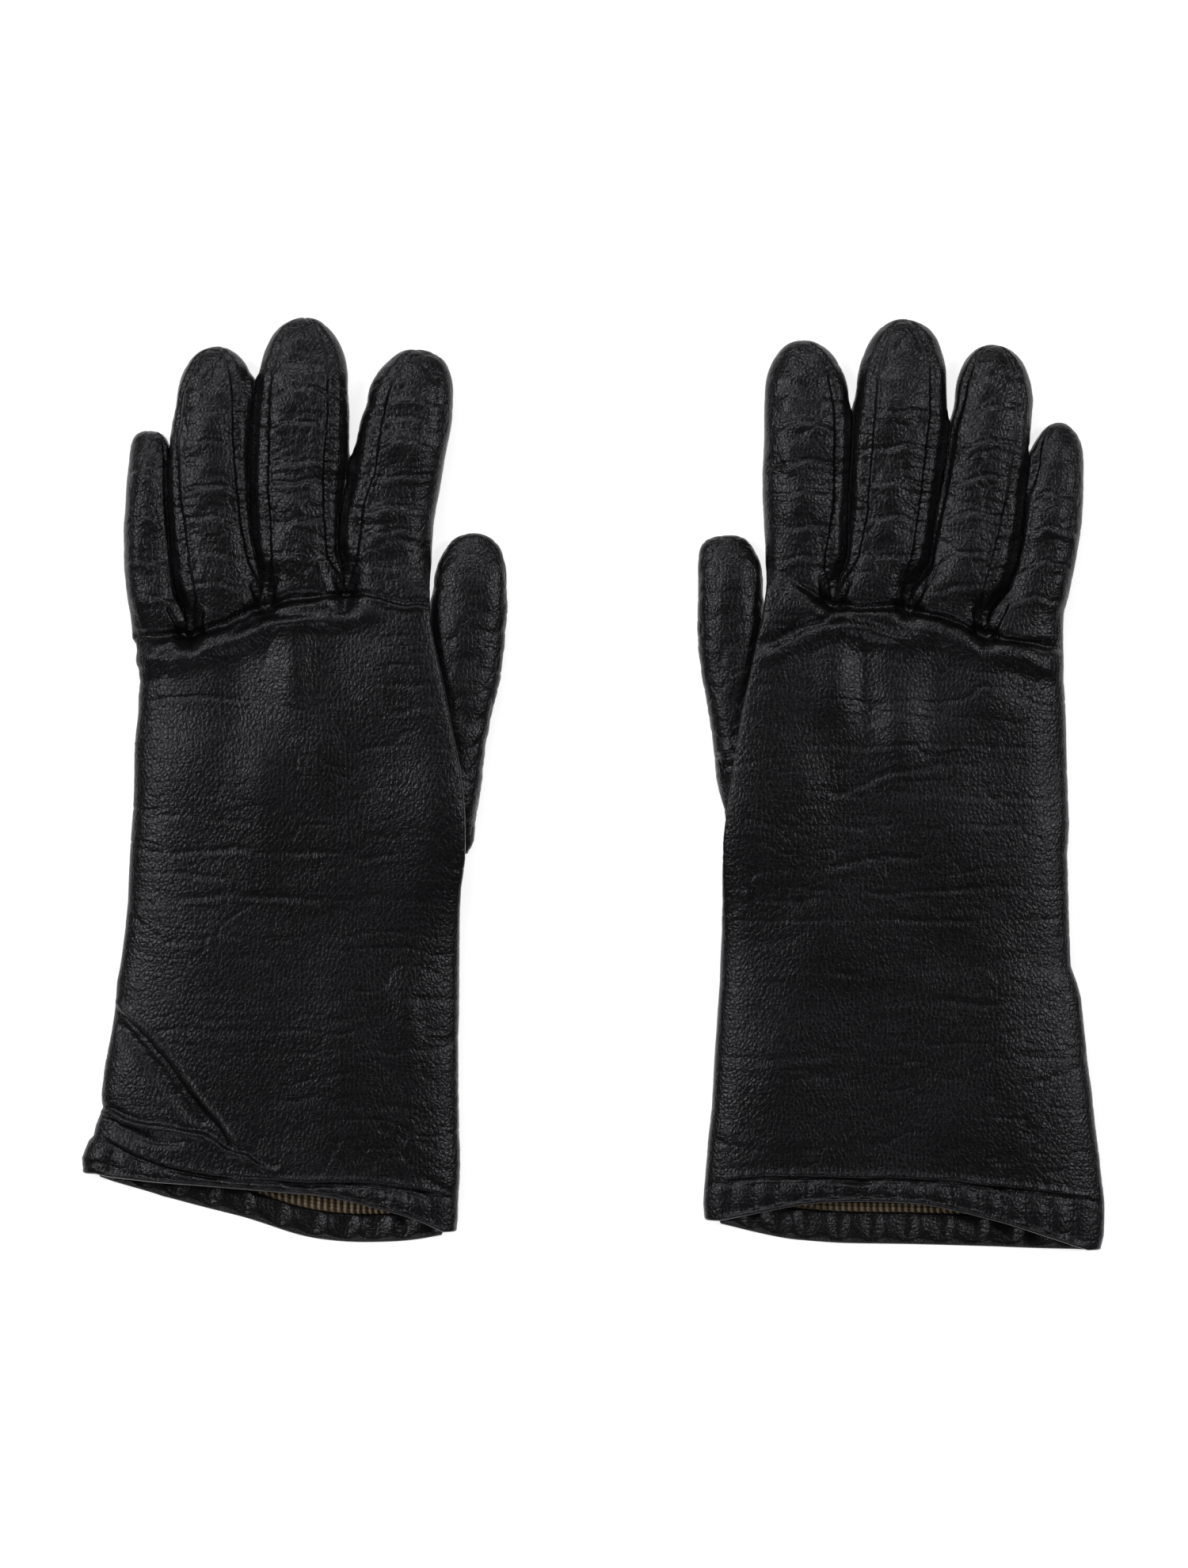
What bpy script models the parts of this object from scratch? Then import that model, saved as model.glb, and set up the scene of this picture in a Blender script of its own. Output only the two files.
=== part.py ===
"""A pair of lined leather dress gloves, lying palm down, fingers towards +Y.

Every leather piece starts as a flat cut panel (a thin slab of grid squares) and is
shaped over the form of the glove.  Metres, +Z up, origin at the centre of the
pair on the surface it lies on.
"""

import math

import bmesh
import bpy

# ---------------------------------------------------------------- driving dimensions (mm)
LEATHER = 0.8          # kid leather thickness
GAP = 0.6              # air between leather and lining
KNIT = 0.7             # knitted lining thickness
SEAM = 0.35            # clearance where two panels meet
HEM = 1.9              # turned hem: leather, seam allowance and facing together
FINGER_HINGE_Y = 54.8  # line on which the four fingers bend
WRIST_HINGE_Y = -25.0  # line on which the cuff bends
HINGE_Z = 0.0          # height of the bend lines, on the palm's outer face
WEDGE = math.tan(math.radians(10.5))   # half the relief for bending backwards
HAND_TOP = 12.5        # height of the back of the hand
CUFF_TOP = 11.5        # height of the cuff
THUMB_TOP = 9.4        # height of the thumb
THUMB_LIFT = 9.8       # height of the palm's edge where the thumb lies under it
ORIGIN_SHIFT = (0.0, -0.55)   # moves the pair so that its box is centred

# Edges are (y, left x, right x) from the base to the start of the tip; then the tip (x, y).
# Seams are how far the fourchette seams lie in from the edges, as a share of the width.
LEFT = {
    "name": "left",
    "thumb_side": 1,
    "little": {"edges": [(54.8, -129.8, -115.9), (64, -130.2, -118.0), (75, -130.3, -118.6),
                         (86, -129.6, -119.0), (91, -128.8, -118.8)],
               "tip": (-123.5, 98.6), "top": 12.0, "seams": (0.0, 0.22)},
    "ring": {"edges": [(54.8, -114.6, -91.8), (64, -116.3, -94.0), (75, -117.4, -95.5),
                       (86, -117.6, -96.0), (97, -117.1, -95.8), (109, -115.3, -94.3)],
             "tip": (-105.0, 121.7), "top": 12.5, "seams": (0.17, 0.16)},
    "middle": {"edges": [(54.8, -89.9, -69.0), (64, -92.1, -70.9), (75, -94.2, -70.7),
                         (86, -94.9, -68.7), (97, -94.7, -67.4), (108, -94.1, -67.8),
                         (115, -92.8, -68.6)],
               "tip": (-80.0, 129.6), "top": 13.0, "seams": (0.16, 0.2)},
    "index": {"edges": [(54.8, -67.9, -44.7), (64, -70.1, -44.7), (75, -69.5, -43.8),
                        (86, -67.0, -41.6), (95, -65.8, -40.3), (104, -63.8, -38.9),
                        (109, -61.5, -39.2)],
              "tip": (-49.5, 120.8), "top": 12.5, "seams": (0.22, 0.0)},
    "thumb": {"edges": [(-5, -42.2, -31.8), (2, -43.4, -30.6), (9, -44.8, -29.7),
                        (20, -46.4, -28.2), (31, -46.4, -25.3), (42, -45.6, -24.2),
                        (50, -44.0, -24.0), (58, -43.6, -24.3)],
              "tip": (-34.0, 69.2), "top": THUMB_TOP, "seams": (0.0, 0.0)},
    "hand": [(-126, -142.3, -38.5), (-106, -142.3, -37.2), (-100, -140.2, -37.0), (-90, -136.6, -37.0),
             (-75, -134.5, -37.3), (-60, -132.7, -37.3), (-45, -130.9, -37.3),
             (-33, -129.4, -37.0), (-25, -128.8, -36.3), (-12, -128.0, -35.8),
             (-2, -127.8, -36.1), (11, -127.2, -38.1), (23, -126.6, -40.7),
             (33, -126.5, -42.7), (40, -127.4, -44.5), (46, -129.0, -44.7), (54.8, -129.8, -44.7)],
    "crotches": [(-115.3, 43.5), (-90.9, 51.5), (-68.5, 52.8)],
    # mouth of the cuff, by share of the width from the left: the line where the hem
    # is sewn on, the hem's edge on the back, and the hem's edge on the palm side
    "hem_seam": [(0.0, -97.7), (0.1, -101.6), (0.2, -105.0), (0.35, -108.5), (0.6, -110.2),
                 (0.8, -112.0), (0.9, -113.6), (1.0, -115.5)],
    "hem_back": [(0.0, -106.0), (0.15, -108.7), (0.35, -111.6), (0.5, -112.8), (0.7, -115.3),
                 (0.85, -119.0), (0.95, -122.4), (1.0, -124.6)],
    "hem_palm": [(0.0, -106.0), (0.1, -110.0), (0.25, -115.0), (0.45, -120.5), (0.6, -124.6),
                 (0.75, -126.6), (0.9, -126.0), (1.0, -124.8)],
}
RIGHT = {
    "name": "right",
    "thumb_side": -1,
    "index": {"edges": [(54.8, 47.5, 67.0), (64, 47.5, 69.2), (75, 46.8, 69.3), (86, 46.9, 69.9),
                        (97, 47.1, 70.7), (109, 47.8, 69.9)],
              "tip": (58.3, 123.2), "top": 12.5, "seams": (0.0, 0.14)},
    "middle": {"edges": [(54.8, 68.6, 89.6), (64, 70.8, 92.4), (75, 70.9, 93.9), (86, 71.3, 96.0),
                         (97, 72.1, 97.8), (108, 73.2, 98.0), (115, 74.4, 97.6)],
               "tip": (86.2, 129.4), "top": 13.0, "seams": (0.22, 0.18)},
    "ring": {"edges": [(54.8, 92.0, 113.0), (64, 94.1, 114.9), (75, 95.5, 117.1), (86, 97.4, 119.0),
                       (97, 99.2, 120.9), (109, 101.0, 121.7)],
             "tip": (111.0, 122.1), "top": 12.5, "seams": (0.14, 0.18)},
    "little": {"edges": [(54.8, 115.2, 132.4), (64, 116.6, 134.4), (75, 118.9, 135.9),
                         (86, 120.8, 136.2), (91, 122.2, 136.2)],
               "tip": (129.4, 100.1), "top": 12.0, "seams": (0.12, 0.0)},
    "thumb": {"edges": [(-5, 36.0, 45.2), (2, 34.6, 46.5), (9, 33.4, 47.6), (20, 32.1, 49.4),
                        (31, 29.9, 49.2), (42, 29.0, 48.0), (50, 29.0, 46.6), (58, 29.4, 46.2)],
              "tip": (38.5, 69.0), "top": THUMB_TOP, "seams": (0.0, 0.0)},
    "hand": [(-128, 30.2, 142.3), (-112, 30.8, 141.4), (-100, 31.9, 140.4), (-90, 32.8, 138.6),
             (-80, 33.6, 137.2), (-68, 34.3, 136.6), (-58, 34.9, 135.2), (-50, 35.4, 133.0),
             (-41, 35.5, 132.4), (-25, 35.7, 132.0), (-12, 36.4, 131.8), (0, 38.0, 131.8),
             (12, 40.2, 131.2), (23, 42.2, 130.9), (34, 43.6, 130.5), (42, 45.3, 130.3),
             (48, 46.7, 130.6), (54.8, 47.5, 132.4)],
    "crotches": [(67.8, 53.0), (90.8, 51.4), (113.8, 44.5)],
    "hem_seam": [(0.0, -112.3), (0.1, -110.4), (0.25, -109.6), (0.5, -109.9), (0.65, -110.7),
                 (0.8, -112.2), (0.92, -114.5), (1.0, -116.8)],
    "hem_back": [(0.0, -120.6), (0.08, -118.7), (0.2, -116.0), (0.32, -114.4), (0.45, -114.2),
                 (0.6, -116.8), (0.75, -120.6), (0.88, -125.0), (1.0, -128.2)],
    "hem_palm": [(0.0, -121.0), (0.1, -124.0), (0.25, -126.4), (0.4, -127.3), (0.6, -127.7),
                 (0.8, -128.2), (1.0, -128.6)],
}

COLOURS = {
    "leather": ((0.012, 0.012, 0.013, 1.0), 0.42),
    "facing": ((0.014, 0.013, 0.013, 1.0), 0.5),
    "knit": ((0.27, 0.19, 0.11, 1.0), 0.95),
}


# ---------------------------------------------------------------- small helpers
def clear_scene():
    for obj in list(bpy.data.objects):
        bpy.data.objects.remove(obj, do_unlink=True)


def material(piece, finish):
    colour, roughness = COLOURS[finish]
    found = bpy.data.materials.new(f"{piece}_{finish}")
    found.use_nodes = True
    shader = found.node_tree.nodes["Principled BSDF"]
    shader.inputs["Base Color"].default_value = colour
    shader.inputs["Roughness"].default_value = roughness
    shader.inputs["Metallic"].default_value = 0.0
    return found


def along(table, t, column=1):
    """Straight-line reading of a table of rows sorted by their first number."""
    if t <= table[0][0]:
        return table[0][column]
    for low, high in zip(table, table[1:]):
        if t <= high[0]:
            share = (t - low[0]) / (high[0] - low[0])
            return low[column] + (high[column] - low[column]) * share
    return table[-1][column]


def step(a, b, t):
    t = min(1.0, max(0.0, (t - a) / (b - a)))
    return t * t * (3 - 2 * t)


def crown(c, power):
    return max(0.0, 1.0 - abs(c) ** power) ** (1.0 / power)


# ---------------------------------------------------------------- the panels
def panel(name, us, vs, shape, collection, finish, closed=False, capped=False):
    """A flat cut panel, one square per step of us and vs and two layers deep, shaped by
    shape(u, v, layer) -> (x, y, z) in mm.  closed joins its long edges into a tube, and
    capped draws its far end to a point."""
    nu, nv = len(us) - 1, len(vs) - 1
    bm = bmesh.new()
    bmesh.ops.create_grid(bm, x_segments=nu, y_segments=nv, size=0.5)
    bmesh.ops.extrude_face_region(bm, geom=bm.faces[:], use_keep_orig=True)
    bm.verts.ensure_lookup_table()
    half = len(bm.verts) // 2
    cell = {}
    for i, vert in enumerate(bm.verts):
        cell[vert] = (round((vert.co.x + 0.5) * nu), round((vert.co.y + 0.5) * nv), int(i >= half))
    if closed:
        ends = [f for f in bm.faces if len({cell[v][2] for v in f.verts}) == 2
                and (all(cell[v][0] == 0 for v in f.verts) or all(cell[v][0] == nu for v in f.verts))]
        bmesh.ops.delete(bm, geom=ends, context="FACES_ONLY")
    if capped:
        ends = [f for f in bm.faces if len({cell[v][2] for v in f.verts}) == 2
                and all(cell[v][1] == nv for v in f.verts)]
        bmesh.ops.delete(bm, geom=ends, context="FACES_ONLY")
    for vert, (i, j, layer) in cell.items():
        u = us[0] if (closed and i == nu) else us[i]
        x, y, z = shape(us[0] if (capped and j == nv) else u, vs[j], layer)
        vert.co = ((x + ORIGIN_SHIFT[0]) * 0.001, (y + ORIGIN_SHIFT[1]) * 0.001, z * 0.001)
    if closed or capped:
        bmesh.ops.remove_doubles(bm, verts=bm.verts[:], dist=1e-6)
        bmesh.ops.dissolve_degenerate(bm, edges=bm.edges[:], dist=1e-6)
    bmesh.ops.recalc_face_normals(bm, faces=bm.faces[:])
    bmesh.ops.triangulate(bm, faces=bm.faces[:], quad_method="SHORT_EDGE")
    mesh = bpy.data.meshes.new(name)
    bm.to_mesh(mesh)
    bm.free()
    if sum(p.area * p.normal.dot(p.center) for p in mesh.polygons) < 0:
        mesh.flip_normals()
    mesh.materials.append(material(name, finish))
    mesh.shade_smooth()
    mesh.set_sharp_from_angle(angle=math.radians(40))
    obj = bpy.data.objects.new(name, mesh)
    collection.objects.link(obj)
    return obj


def on_pivot(obj, pivot_mm):
    """Puts a moving piece's origin on its bend line."""
    px, py, pz = ((pivot_mm[0] + ORIGIN_SHIFT[0]) * 0.001, (pivot_mm[1] + ORIGIN_SHIFT[1]) * 0.001,
                  pivot_mm[2] * 0.001)
    for vert in obj.data.vertices:
        vert.co.x -= px
        vert.co.y -= py
        vert.co.z -= pz
    obj.location = (px, py, pz)


def even(a, b, n):
    return [a + (b - a) * i / n for i in range(n + 1)]


# ---------------------------------------------------------------- form of a finger or thumb
def stall_point(spec, theta, v, inset, wedge=True, base_cut=None):
    """A point of a finger stall: theta runs round its section (0 on the +X side, 90 deg on
    top), v from the base (0) through the start of the tip (0.8) to the tip (1)."""
    edges, (tip_x, tip_y) = spec["edges"], spec["tip"]
    tip_y -= inset
    y0, y1 = edges[0][0], edges[-1][0]
    if v <= 0.8:
        y, small = y0 + (y1 - y0) * v / 0.8, 1.0
    else:
        angle = (v - 0.8) / 0.2 * math.pi / 2
        y, small = y1 + (tip_y - y1) * math.sin(angle), math.cos(angle)
    left, right = along(edges, y, 1), along(edges, y, 2)
    centre, half = (left + right) / 2, max(0.4, (right - left) / 2 - inset)
    drift = step(y1, tip_y, y)
    centre += (tip_x - centre) * drift
    top = spec["top"] * (1 - 0.12 * step(y1 - 14, tip_y, y))
    mid = top * 0.5
    rise = max(0.3, mid - inset)
    power = 2.35
    co, si = math.cos(theta), math.sin(theta)
    x = centre + half * small * math.copysign(abs(co) ** (2 / power), co)
    z = mid + rise * small * math.copysign(abs(si) ** (2 / power), si)
    if si < 0:
        # the underside lies flat
        flat = mid - rise * small * (1 - (1 - abs(si)) ** 2.2) ** 0.5 if small > 0.999 else z
        z = min(z, flat)
    if wedge:
        y += (z * WEDGE + 0.25) * (1 - min(1.0, v / 0.3))
    if base_cut is not None:
        y += base_cut(x, z) * (1 - min(1.0, v / 0.3))
    return x, y, z


def seam_angle(share):
    """The section angle of a seam that lies a share of the width in from the edge."""
    if share <= 0:
        return 0.0
    return math.acos((1 - 2 * share) ** (2.35 / 2))


def build_stall(glove, digit, collection):
    spec = glove[digit]
    prefix = f"{glove['name']}_{digit}"
    low, high = seam_angle(spec["seams"][0]), seam_angle(spec["seams"][1])
    is_thumb = digit == "thumb"
    vs = [0, 0.15, 0.32, 0.56, 0.8, 0.88, 0.95, 0.985]
    gap = math.radians(2.6)
    pivot = (spec["edges"][0][1] / 2 + spec["edges"][0][2] / 2, FINGER_HINGE_Y, HINGE_Z)
    if is_thumb:
        pivot = thumb_pivot(glove)

    def strip(name, a, b, n, finish="leather"):
        made = panel(name, even(a, b, n), vs,
                     lambda u, v, layer: stall_point(spec, u, v, LEATHER * layer, wedge=not is_thumb),
                     collection, finish)
        on_pivot(made, pivot)

    strip(f"{prefix}_back", high + gap, math.pi - low - gap, 4)
    strip(f"{prefix}_palm", math.pi + low + gap, 2 * math.pi - high - gap, 4)
    if spec["seams"][1] > 0:
        strip(f"{prefix}_fourchette_{'thumb_side' if glove['thumb_side'] > 0 else 'outer_side'}",
              -high + gap, high - gap, 4)
    if spec["seams"][0] > 0:
        strip(f"{prefix}_fourchette_{'outer_side' if glove['thumb_side'] > 0 else 'thumb_side'}",
              math.pi - low + gap, math.pi + low - gap, 4)
    made = panel(f"{prefix}_lining", even(0, 2 * math.pi, 10), [0, 0.15, 0.32, 0.56, 0.8, 0.9, 0.96, 1.0],
                 lambda u, v, layer: stall_point(spec, u, v, LEATHER + GAP + KNIT * layer, wedge=not is_thumb),
                 collection, "knit", closed=True, capped=True)
    on_pivot(made, pivot)


# ---------------------------------------------------------------- form of the hand and cuff
def thumb_pivot(glove):
    first = glove["thumb"]["edges"][0]
    return ((first[1] + first[2]) / 2, first[0], 0.0)


def hand_point(glove, share, y, inset, top):
    """A point of the hand or cuff: share runs from the left edge (0) to the right (1)."""
    left, right = along(glove["hand"], y, 1), along(glove["hand"], y, 2)
    c = 2 * share - 1
    x = (left + right) / 2 + ((right - left) / 2 - inset) * c
    t = c * glove["thumb_side"]          # +1 on the thumb's side
    over_thumb = step(-21.0, -6.0, y)
    lift = THUMB_LIFT * over_thumb * step(0.6, 0.86, t)
    high = CUFF_TOP + (HAND_TOP - CUFF_TOP) * step(-60, 0, y)
    high += 2.7 * over_thumb * step(0.5, 0.9, t)
    edge = 4.8 + (THUMB_LIFT + 2.8 - 4.8) * step(0.5, 0.95, t) * over_thumb
    edge = max(edge, lift + 2.8)
    if top:
        return x, edge + 0.18 + (high - inset - edge - 0.18) * crown(c, 2.7)
    flat = crown(max(0.0, abs(c) - 0.7) / 0.3, 2.4)
    return x, edge - 0.18 - (edge - 0.18 - lift - inset) * flat


def columns(glove):
    """Shares across the hand at which the panels have their columns: close at the edges
    and on both sides of each crotch between the fingers."""
    left, right = along(glove["hand"], 54.8, 1), along(glove["hand"], 54.8, 2)
    crotch = [(x - left) / (right - left) for x, _ in glove["crotches"]]
    marks = [0.0, crotch[0], crotch[1], crotch[2], 1.0]
    found = [0.0, 0.012, 0.05]
    for a, b in zip(marks, marks[1:]):
        found.append((a + b) / 2)
        if b < 1:
            found += [b - 0.012, b, b + 0.012]
    return sorted(found + [0.95, 0.988, 1.0]), crotch


def build_hand(glove, collection):
    name = glove["name"]
    shares, crotch = columns(glove)
    rows = [WRIST_HINGE_Y, -19.0, -13.0, -6.5, 8.0, 24.0, 40.0, FINGER_HINGE_Y]

    def far_end(share):
        for place, (_, depth) in zip(crotch, glove["crotches"]):
            if abs(share - place) < 1e-6:
                return depth
        return FINGER_HINGE_Y

    def relief(y, z, end, reach):
        """How far a panel's end is cut back from a bend line, to let it bend backwards."""
        return (z * WEDGE + 0.25) * max(0.0, 1 - abs(y - end) / reach)

    def hand_shape(top):
        def shape(u, y, layer):
            at_finger = y == FINGER_HINGE_Y and far_end(u) == FINGER_HINGE_Y
            y = min(y, far_end(u))
            x, z = hand_point(glove, u, y, LEATHER * layer, top)
            if y < 0:
                y += relief(y, z, WRIST_HINGE_Y, 6.0)
            elif at_finger:
                y -= relief(y, z, FINGER_HINGE_Y, 6.0)
            return x, y, z
        return shape

    back = panel(f"{name}_back_panel", shares, rows, hand_shape(True), collection, "leather")
    palm = panel(f"{name}_palm_panel", shares, rows, hand_shape(False), collection, "leather")

    # linings are tubes: out along the back from the left edge (0) to the right (1), and
    # home along the palm (2)
    ring = [q for q in shares if min(abs(q - place) for place in crotch) > 0.006]
    loop = ring + [2 - q for q in reversed(ring[1:-1])] + [2.0]

    def half(q):
        return (q, True) if q <= 1 else (2 - q, False)

    def hand_lining(u, y, layer):
        share, top = half(u)
        x, z = hand_point(glove, share, y, LEATHER + GAP + KNIT * layer, top)
        return x, y + relief(y, z, WRIST_HINGE_Y, 6.0), z

    lining = panel(f"{name}_hand_lining", loop, rows[:-1], hand_lining, collection, "knit", closed=True)

    # the cuff
    def seam_y(share, top):
        """The line where the hem is sewn on."""
        back_y = along(glove["hem_seam"], share)
        palm_y = along(glove["hem_palm"], share) + 8.5
        side = abs(2 * share - 1) ** 12
        return back_y if top else palm_y * (1 - side) + back_y * side

    def edge_y(share, top):
        """The edge of the cuff's mouth."""
        back_y, palm_y = along(glove["hem_back"], share), along(glove["hem_palm"], share)
        side = abs(2 * share - 1) ** 12
        return (back_y if top else palm_y) * (1 - side) + (back_y + palm_y) / 2 * side

    def from_seam(y0, v, share, top, inset):
        y = y0 + (WRIST_HINGE_Y - y0) * v
        x, z = hand_point(glove, share, y, inset, top)
        return x, y - relief(y, z, WRIST_HINGE_Y, 6.0), z

    def cuff_shape(top):
        return lambda u, v, layer: from_seam(seam_y(u, top) + SEAM, v, u, top, LEATHER * layer)

    steps = [0, 0.25, 0.5, 0.75, 0.93, 1.0]
    across = [0, 0.012, 0.05, 0.15, 0.3, 0.45, 0.6, 0.75, 0.88, 0.95, 0.988, 1.0]
    cuff_back = panel(f"{name}_cuff_back", across, steps, cuff_shape(True), collection, "leather")
    cuff_palm = panel(f"{name}_cuff_palm", across, steps, cuff_shape(False), collection, "leather")

    def cuff_lining_shape(u, v, layer):
        share, top = half(u)
        return from_seam(seam_y(share, top) + SEAM, v, share, top, LEATHER + GAP + KNIT * layer)

    def hem_shape(u, v, layer):
        share, top = half(u)
        y = edge_y(share, top) * (1 - v) + (seam_y(share, top) - SEAM) * v
        x, z = hand_point(glove, share, y, HEM * layer, top)
        return x, y, z

    around = across + [2 - q for q in reversed(across[1:-1])] + [2.0]
    cuff_lining = panel(f"{name}_cuff_lining", around, steps, cuff_lining_shape, collection, "knit", closed=True)
    hem = panel(f"{name}_cuff_hem", around, [0, 0.5, 1.0], hem_shape, collection, "facing", closed=True)

    for made in (back, palm, lining):
        on_pivot(made, (sum(glove["hand"][-1][1:]) / 2, 15.0, 0.0))
    for made in (cuff_back, cuff_palm, hem, cuff_lining):
        on_pivot(made, (sum(glove["hand"][8][1:]) / 2, WRIST_HINGE_Y, HINGE_Z))


def main():
    clear_scene()
    pair = bpy.data.collections.new("leather_gloves")
    cutters = bpy.data.collections.new("cutters")
    bpy.context.scene.collection.children.link(pair)
    bpy.context.scene.collection.children.link(cutters)
    for glove in (LEFT, RIGHT):
        build_hand(glove, pair)
        for digit in ("index", "middle", "ring", "little", "thumb"):
            build_stall(glove, digit, pair)


main()
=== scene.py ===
"""Looks of a pair of lined black leather dress gloves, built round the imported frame."""
import math

import bpy
import numpy as np
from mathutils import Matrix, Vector


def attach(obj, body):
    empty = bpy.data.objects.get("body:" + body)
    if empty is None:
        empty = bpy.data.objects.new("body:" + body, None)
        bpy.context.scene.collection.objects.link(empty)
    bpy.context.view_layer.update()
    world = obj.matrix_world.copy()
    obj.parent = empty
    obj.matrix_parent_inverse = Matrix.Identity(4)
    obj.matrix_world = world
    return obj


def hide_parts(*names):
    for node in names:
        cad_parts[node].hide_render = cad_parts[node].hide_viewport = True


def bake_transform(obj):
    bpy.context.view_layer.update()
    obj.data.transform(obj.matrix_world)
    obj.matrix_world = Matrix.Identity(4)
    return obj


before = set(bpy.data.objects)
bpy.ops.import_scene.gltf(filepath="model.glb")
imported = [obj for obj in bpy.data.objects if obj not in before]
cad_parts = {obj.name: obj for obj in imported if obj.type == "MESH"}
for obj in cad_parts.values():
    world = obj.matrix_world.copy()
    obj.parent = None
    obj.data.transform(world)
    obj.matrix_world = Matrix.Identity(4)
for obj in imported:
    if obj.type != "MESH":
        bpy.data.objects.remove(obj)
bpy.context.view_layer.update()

# ------------------------------------------------------------------ drafting grid
K = 0.22                    # mm in one unit of the drafting grid
SHIFT = -0.55               # mm, from the grid's middle line to the row's origin


def gx(u):
    return (np.asarray(u, float) - 750.0) * K


def gy(v):
    return (990.0 - np.asarray(v, float)) * K + SHIFT


def table(rows, y, column=1):
    """Reads a table of (grid row, value) at heights y, in mm."""
    ys = gy([r[0] for r in rows])
    xs = gx([r[column] for r in rows])
    order = np.argsort(ys)
    return np.interp(y, ys[order], xs[order])


def smooth(a, b, t):
    t = np.clip((np.asarray(t, float) - a) / (b - a), 0, 1)
    return t * t * (3 - 2 * t)


# ------------------------------------------------------------------ noise, all from whole-number hashes
def cell_random(ix, iy, iz, seed):
    n = (ix * 73856093) ^ (iy * 19349663) ^ (iz * 83492791) ^ (seed * 2654435761)
    n = n & 0x7FFFFFFF
    n = ((n ^ (n >> 13)) * 1274126177) & 0x7FFFFFFF
    n = ((n ^ (n >> 15)) * 1103515245 + 12345) & 0x7FFFFFFF
    return ((n >> 7) & 0xFFFF) / 65535.0


def vnoise(p, seed=0):
    """Smooth noise from -1 to 1 at points p (n, 3)."""
    i = np.floor(p).astype(np.int64)
    f = p - i
    f = f * f * f * (f * (f * 6 - 15) + 10)
    out = np.zeros(len(p))
    for dx in (0, 1):
        wx = f[:, 0] if dx else 1 - f[:, 0]
        for dy in (0, 1):
            wy = f[:, 1] if dy else 1 - f[:, 1]
            for dz in (0, 1):
                wz = f[:, 2] if dz else 1 - f[:, 2]
                out += wx * wy * wz * cell_random(i[:, 0] + dx, i[:, 1] + dy, i[:, 2] + dz, seed)
    return out * 2 - 1


def fbm(p, octaves=3, seed=0, gain=0.5):
    total, size, scale = np.zeros(len(p)), 0.0, 1.0
    for k in range(octaves):
        total += scale * vnoise(p * 2.03 ** k + 17.3 * k, seed + k)
        size += scale
        scale *= gain
    return total / size


def hairlines(p, width, seed=0):
    """1 on the thin winding lines where smooth noise crosses zero, 0 away from them."""
    g = vnoise(p, seed)
    return np.clip(1 - np.abs(g) / width, 0, 1) ** 1.6


def cells(p, seed=0):
    """Distance to the nearest and to the second nearest of scattered points."""
    i = np.floor(p).astype(np.int64)
    f1 = np.full(len(p), 9.0)
    f2 = np.full(len(p), 9.0)
    for dx in (-1, 0, 1):
        for dy in (-1, 0, 1):
            for dz in (-1, 0, 1):
                cx, cy, cz = i[:, 0] + dx, i[:, 1] + dy, i[:, 2] + dz
                q = np.stack([cx + cell_random(cx, cy, cz, seed),
                              cy + cell_random(cx, cy, cz, seed + 11),
                              cz + cell_random(cx, cy, cz, seed + 23)], 1)
                d = np.sqrt(((p - q) ** 2).sum(1))
                nearer = d < f1
                f2 = np.where(nearer, f1, np.minimum(f2, d))
                f1 = np.where(nearer, d, f1)
    return f1, f2


def near_line(x, y, points):
    """Distance from (x, y) to a line through grid points, the side (+ towards the fingertips),
    and the place along it from 0 to 1."""
    px, py = gx([q[0] for q in points]), gy([q[1] for q in points])
    best = np.full(len(x), 1e9)
    side = np.zeros(len(x))
    where = np.zeros(len(x))
    lengths = np.hypot(np.diff(px), np.diff(py))
    total = lengths.sum()
    run = 0.0
    for k in range(len(px) - 1):
        dx, dy = px[k + 1] - px[k], py[k + 1] - py[k]
        t = np.clip(((x - px[k]) * dx + (y - py[k]) * dy) / (dx * dx + dy * dy), 0, 1)
        ex, ey = x - (px[k] + t * dx), y - (py[k] + t * dy)
        d = np.hypot(ex, ey)
        closer = d < best
        cross = (dx * (y - py[k]) - dy * (x - px[k])) / lengths[k]
        best = np.where(closer, d, best)
        side = np.where(closer, np.sign(cross), side)
        where = np.where(closer, (run + t * lengths[k]) / total, where)
        run += lengths[k]
    return best, side, where


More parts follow.
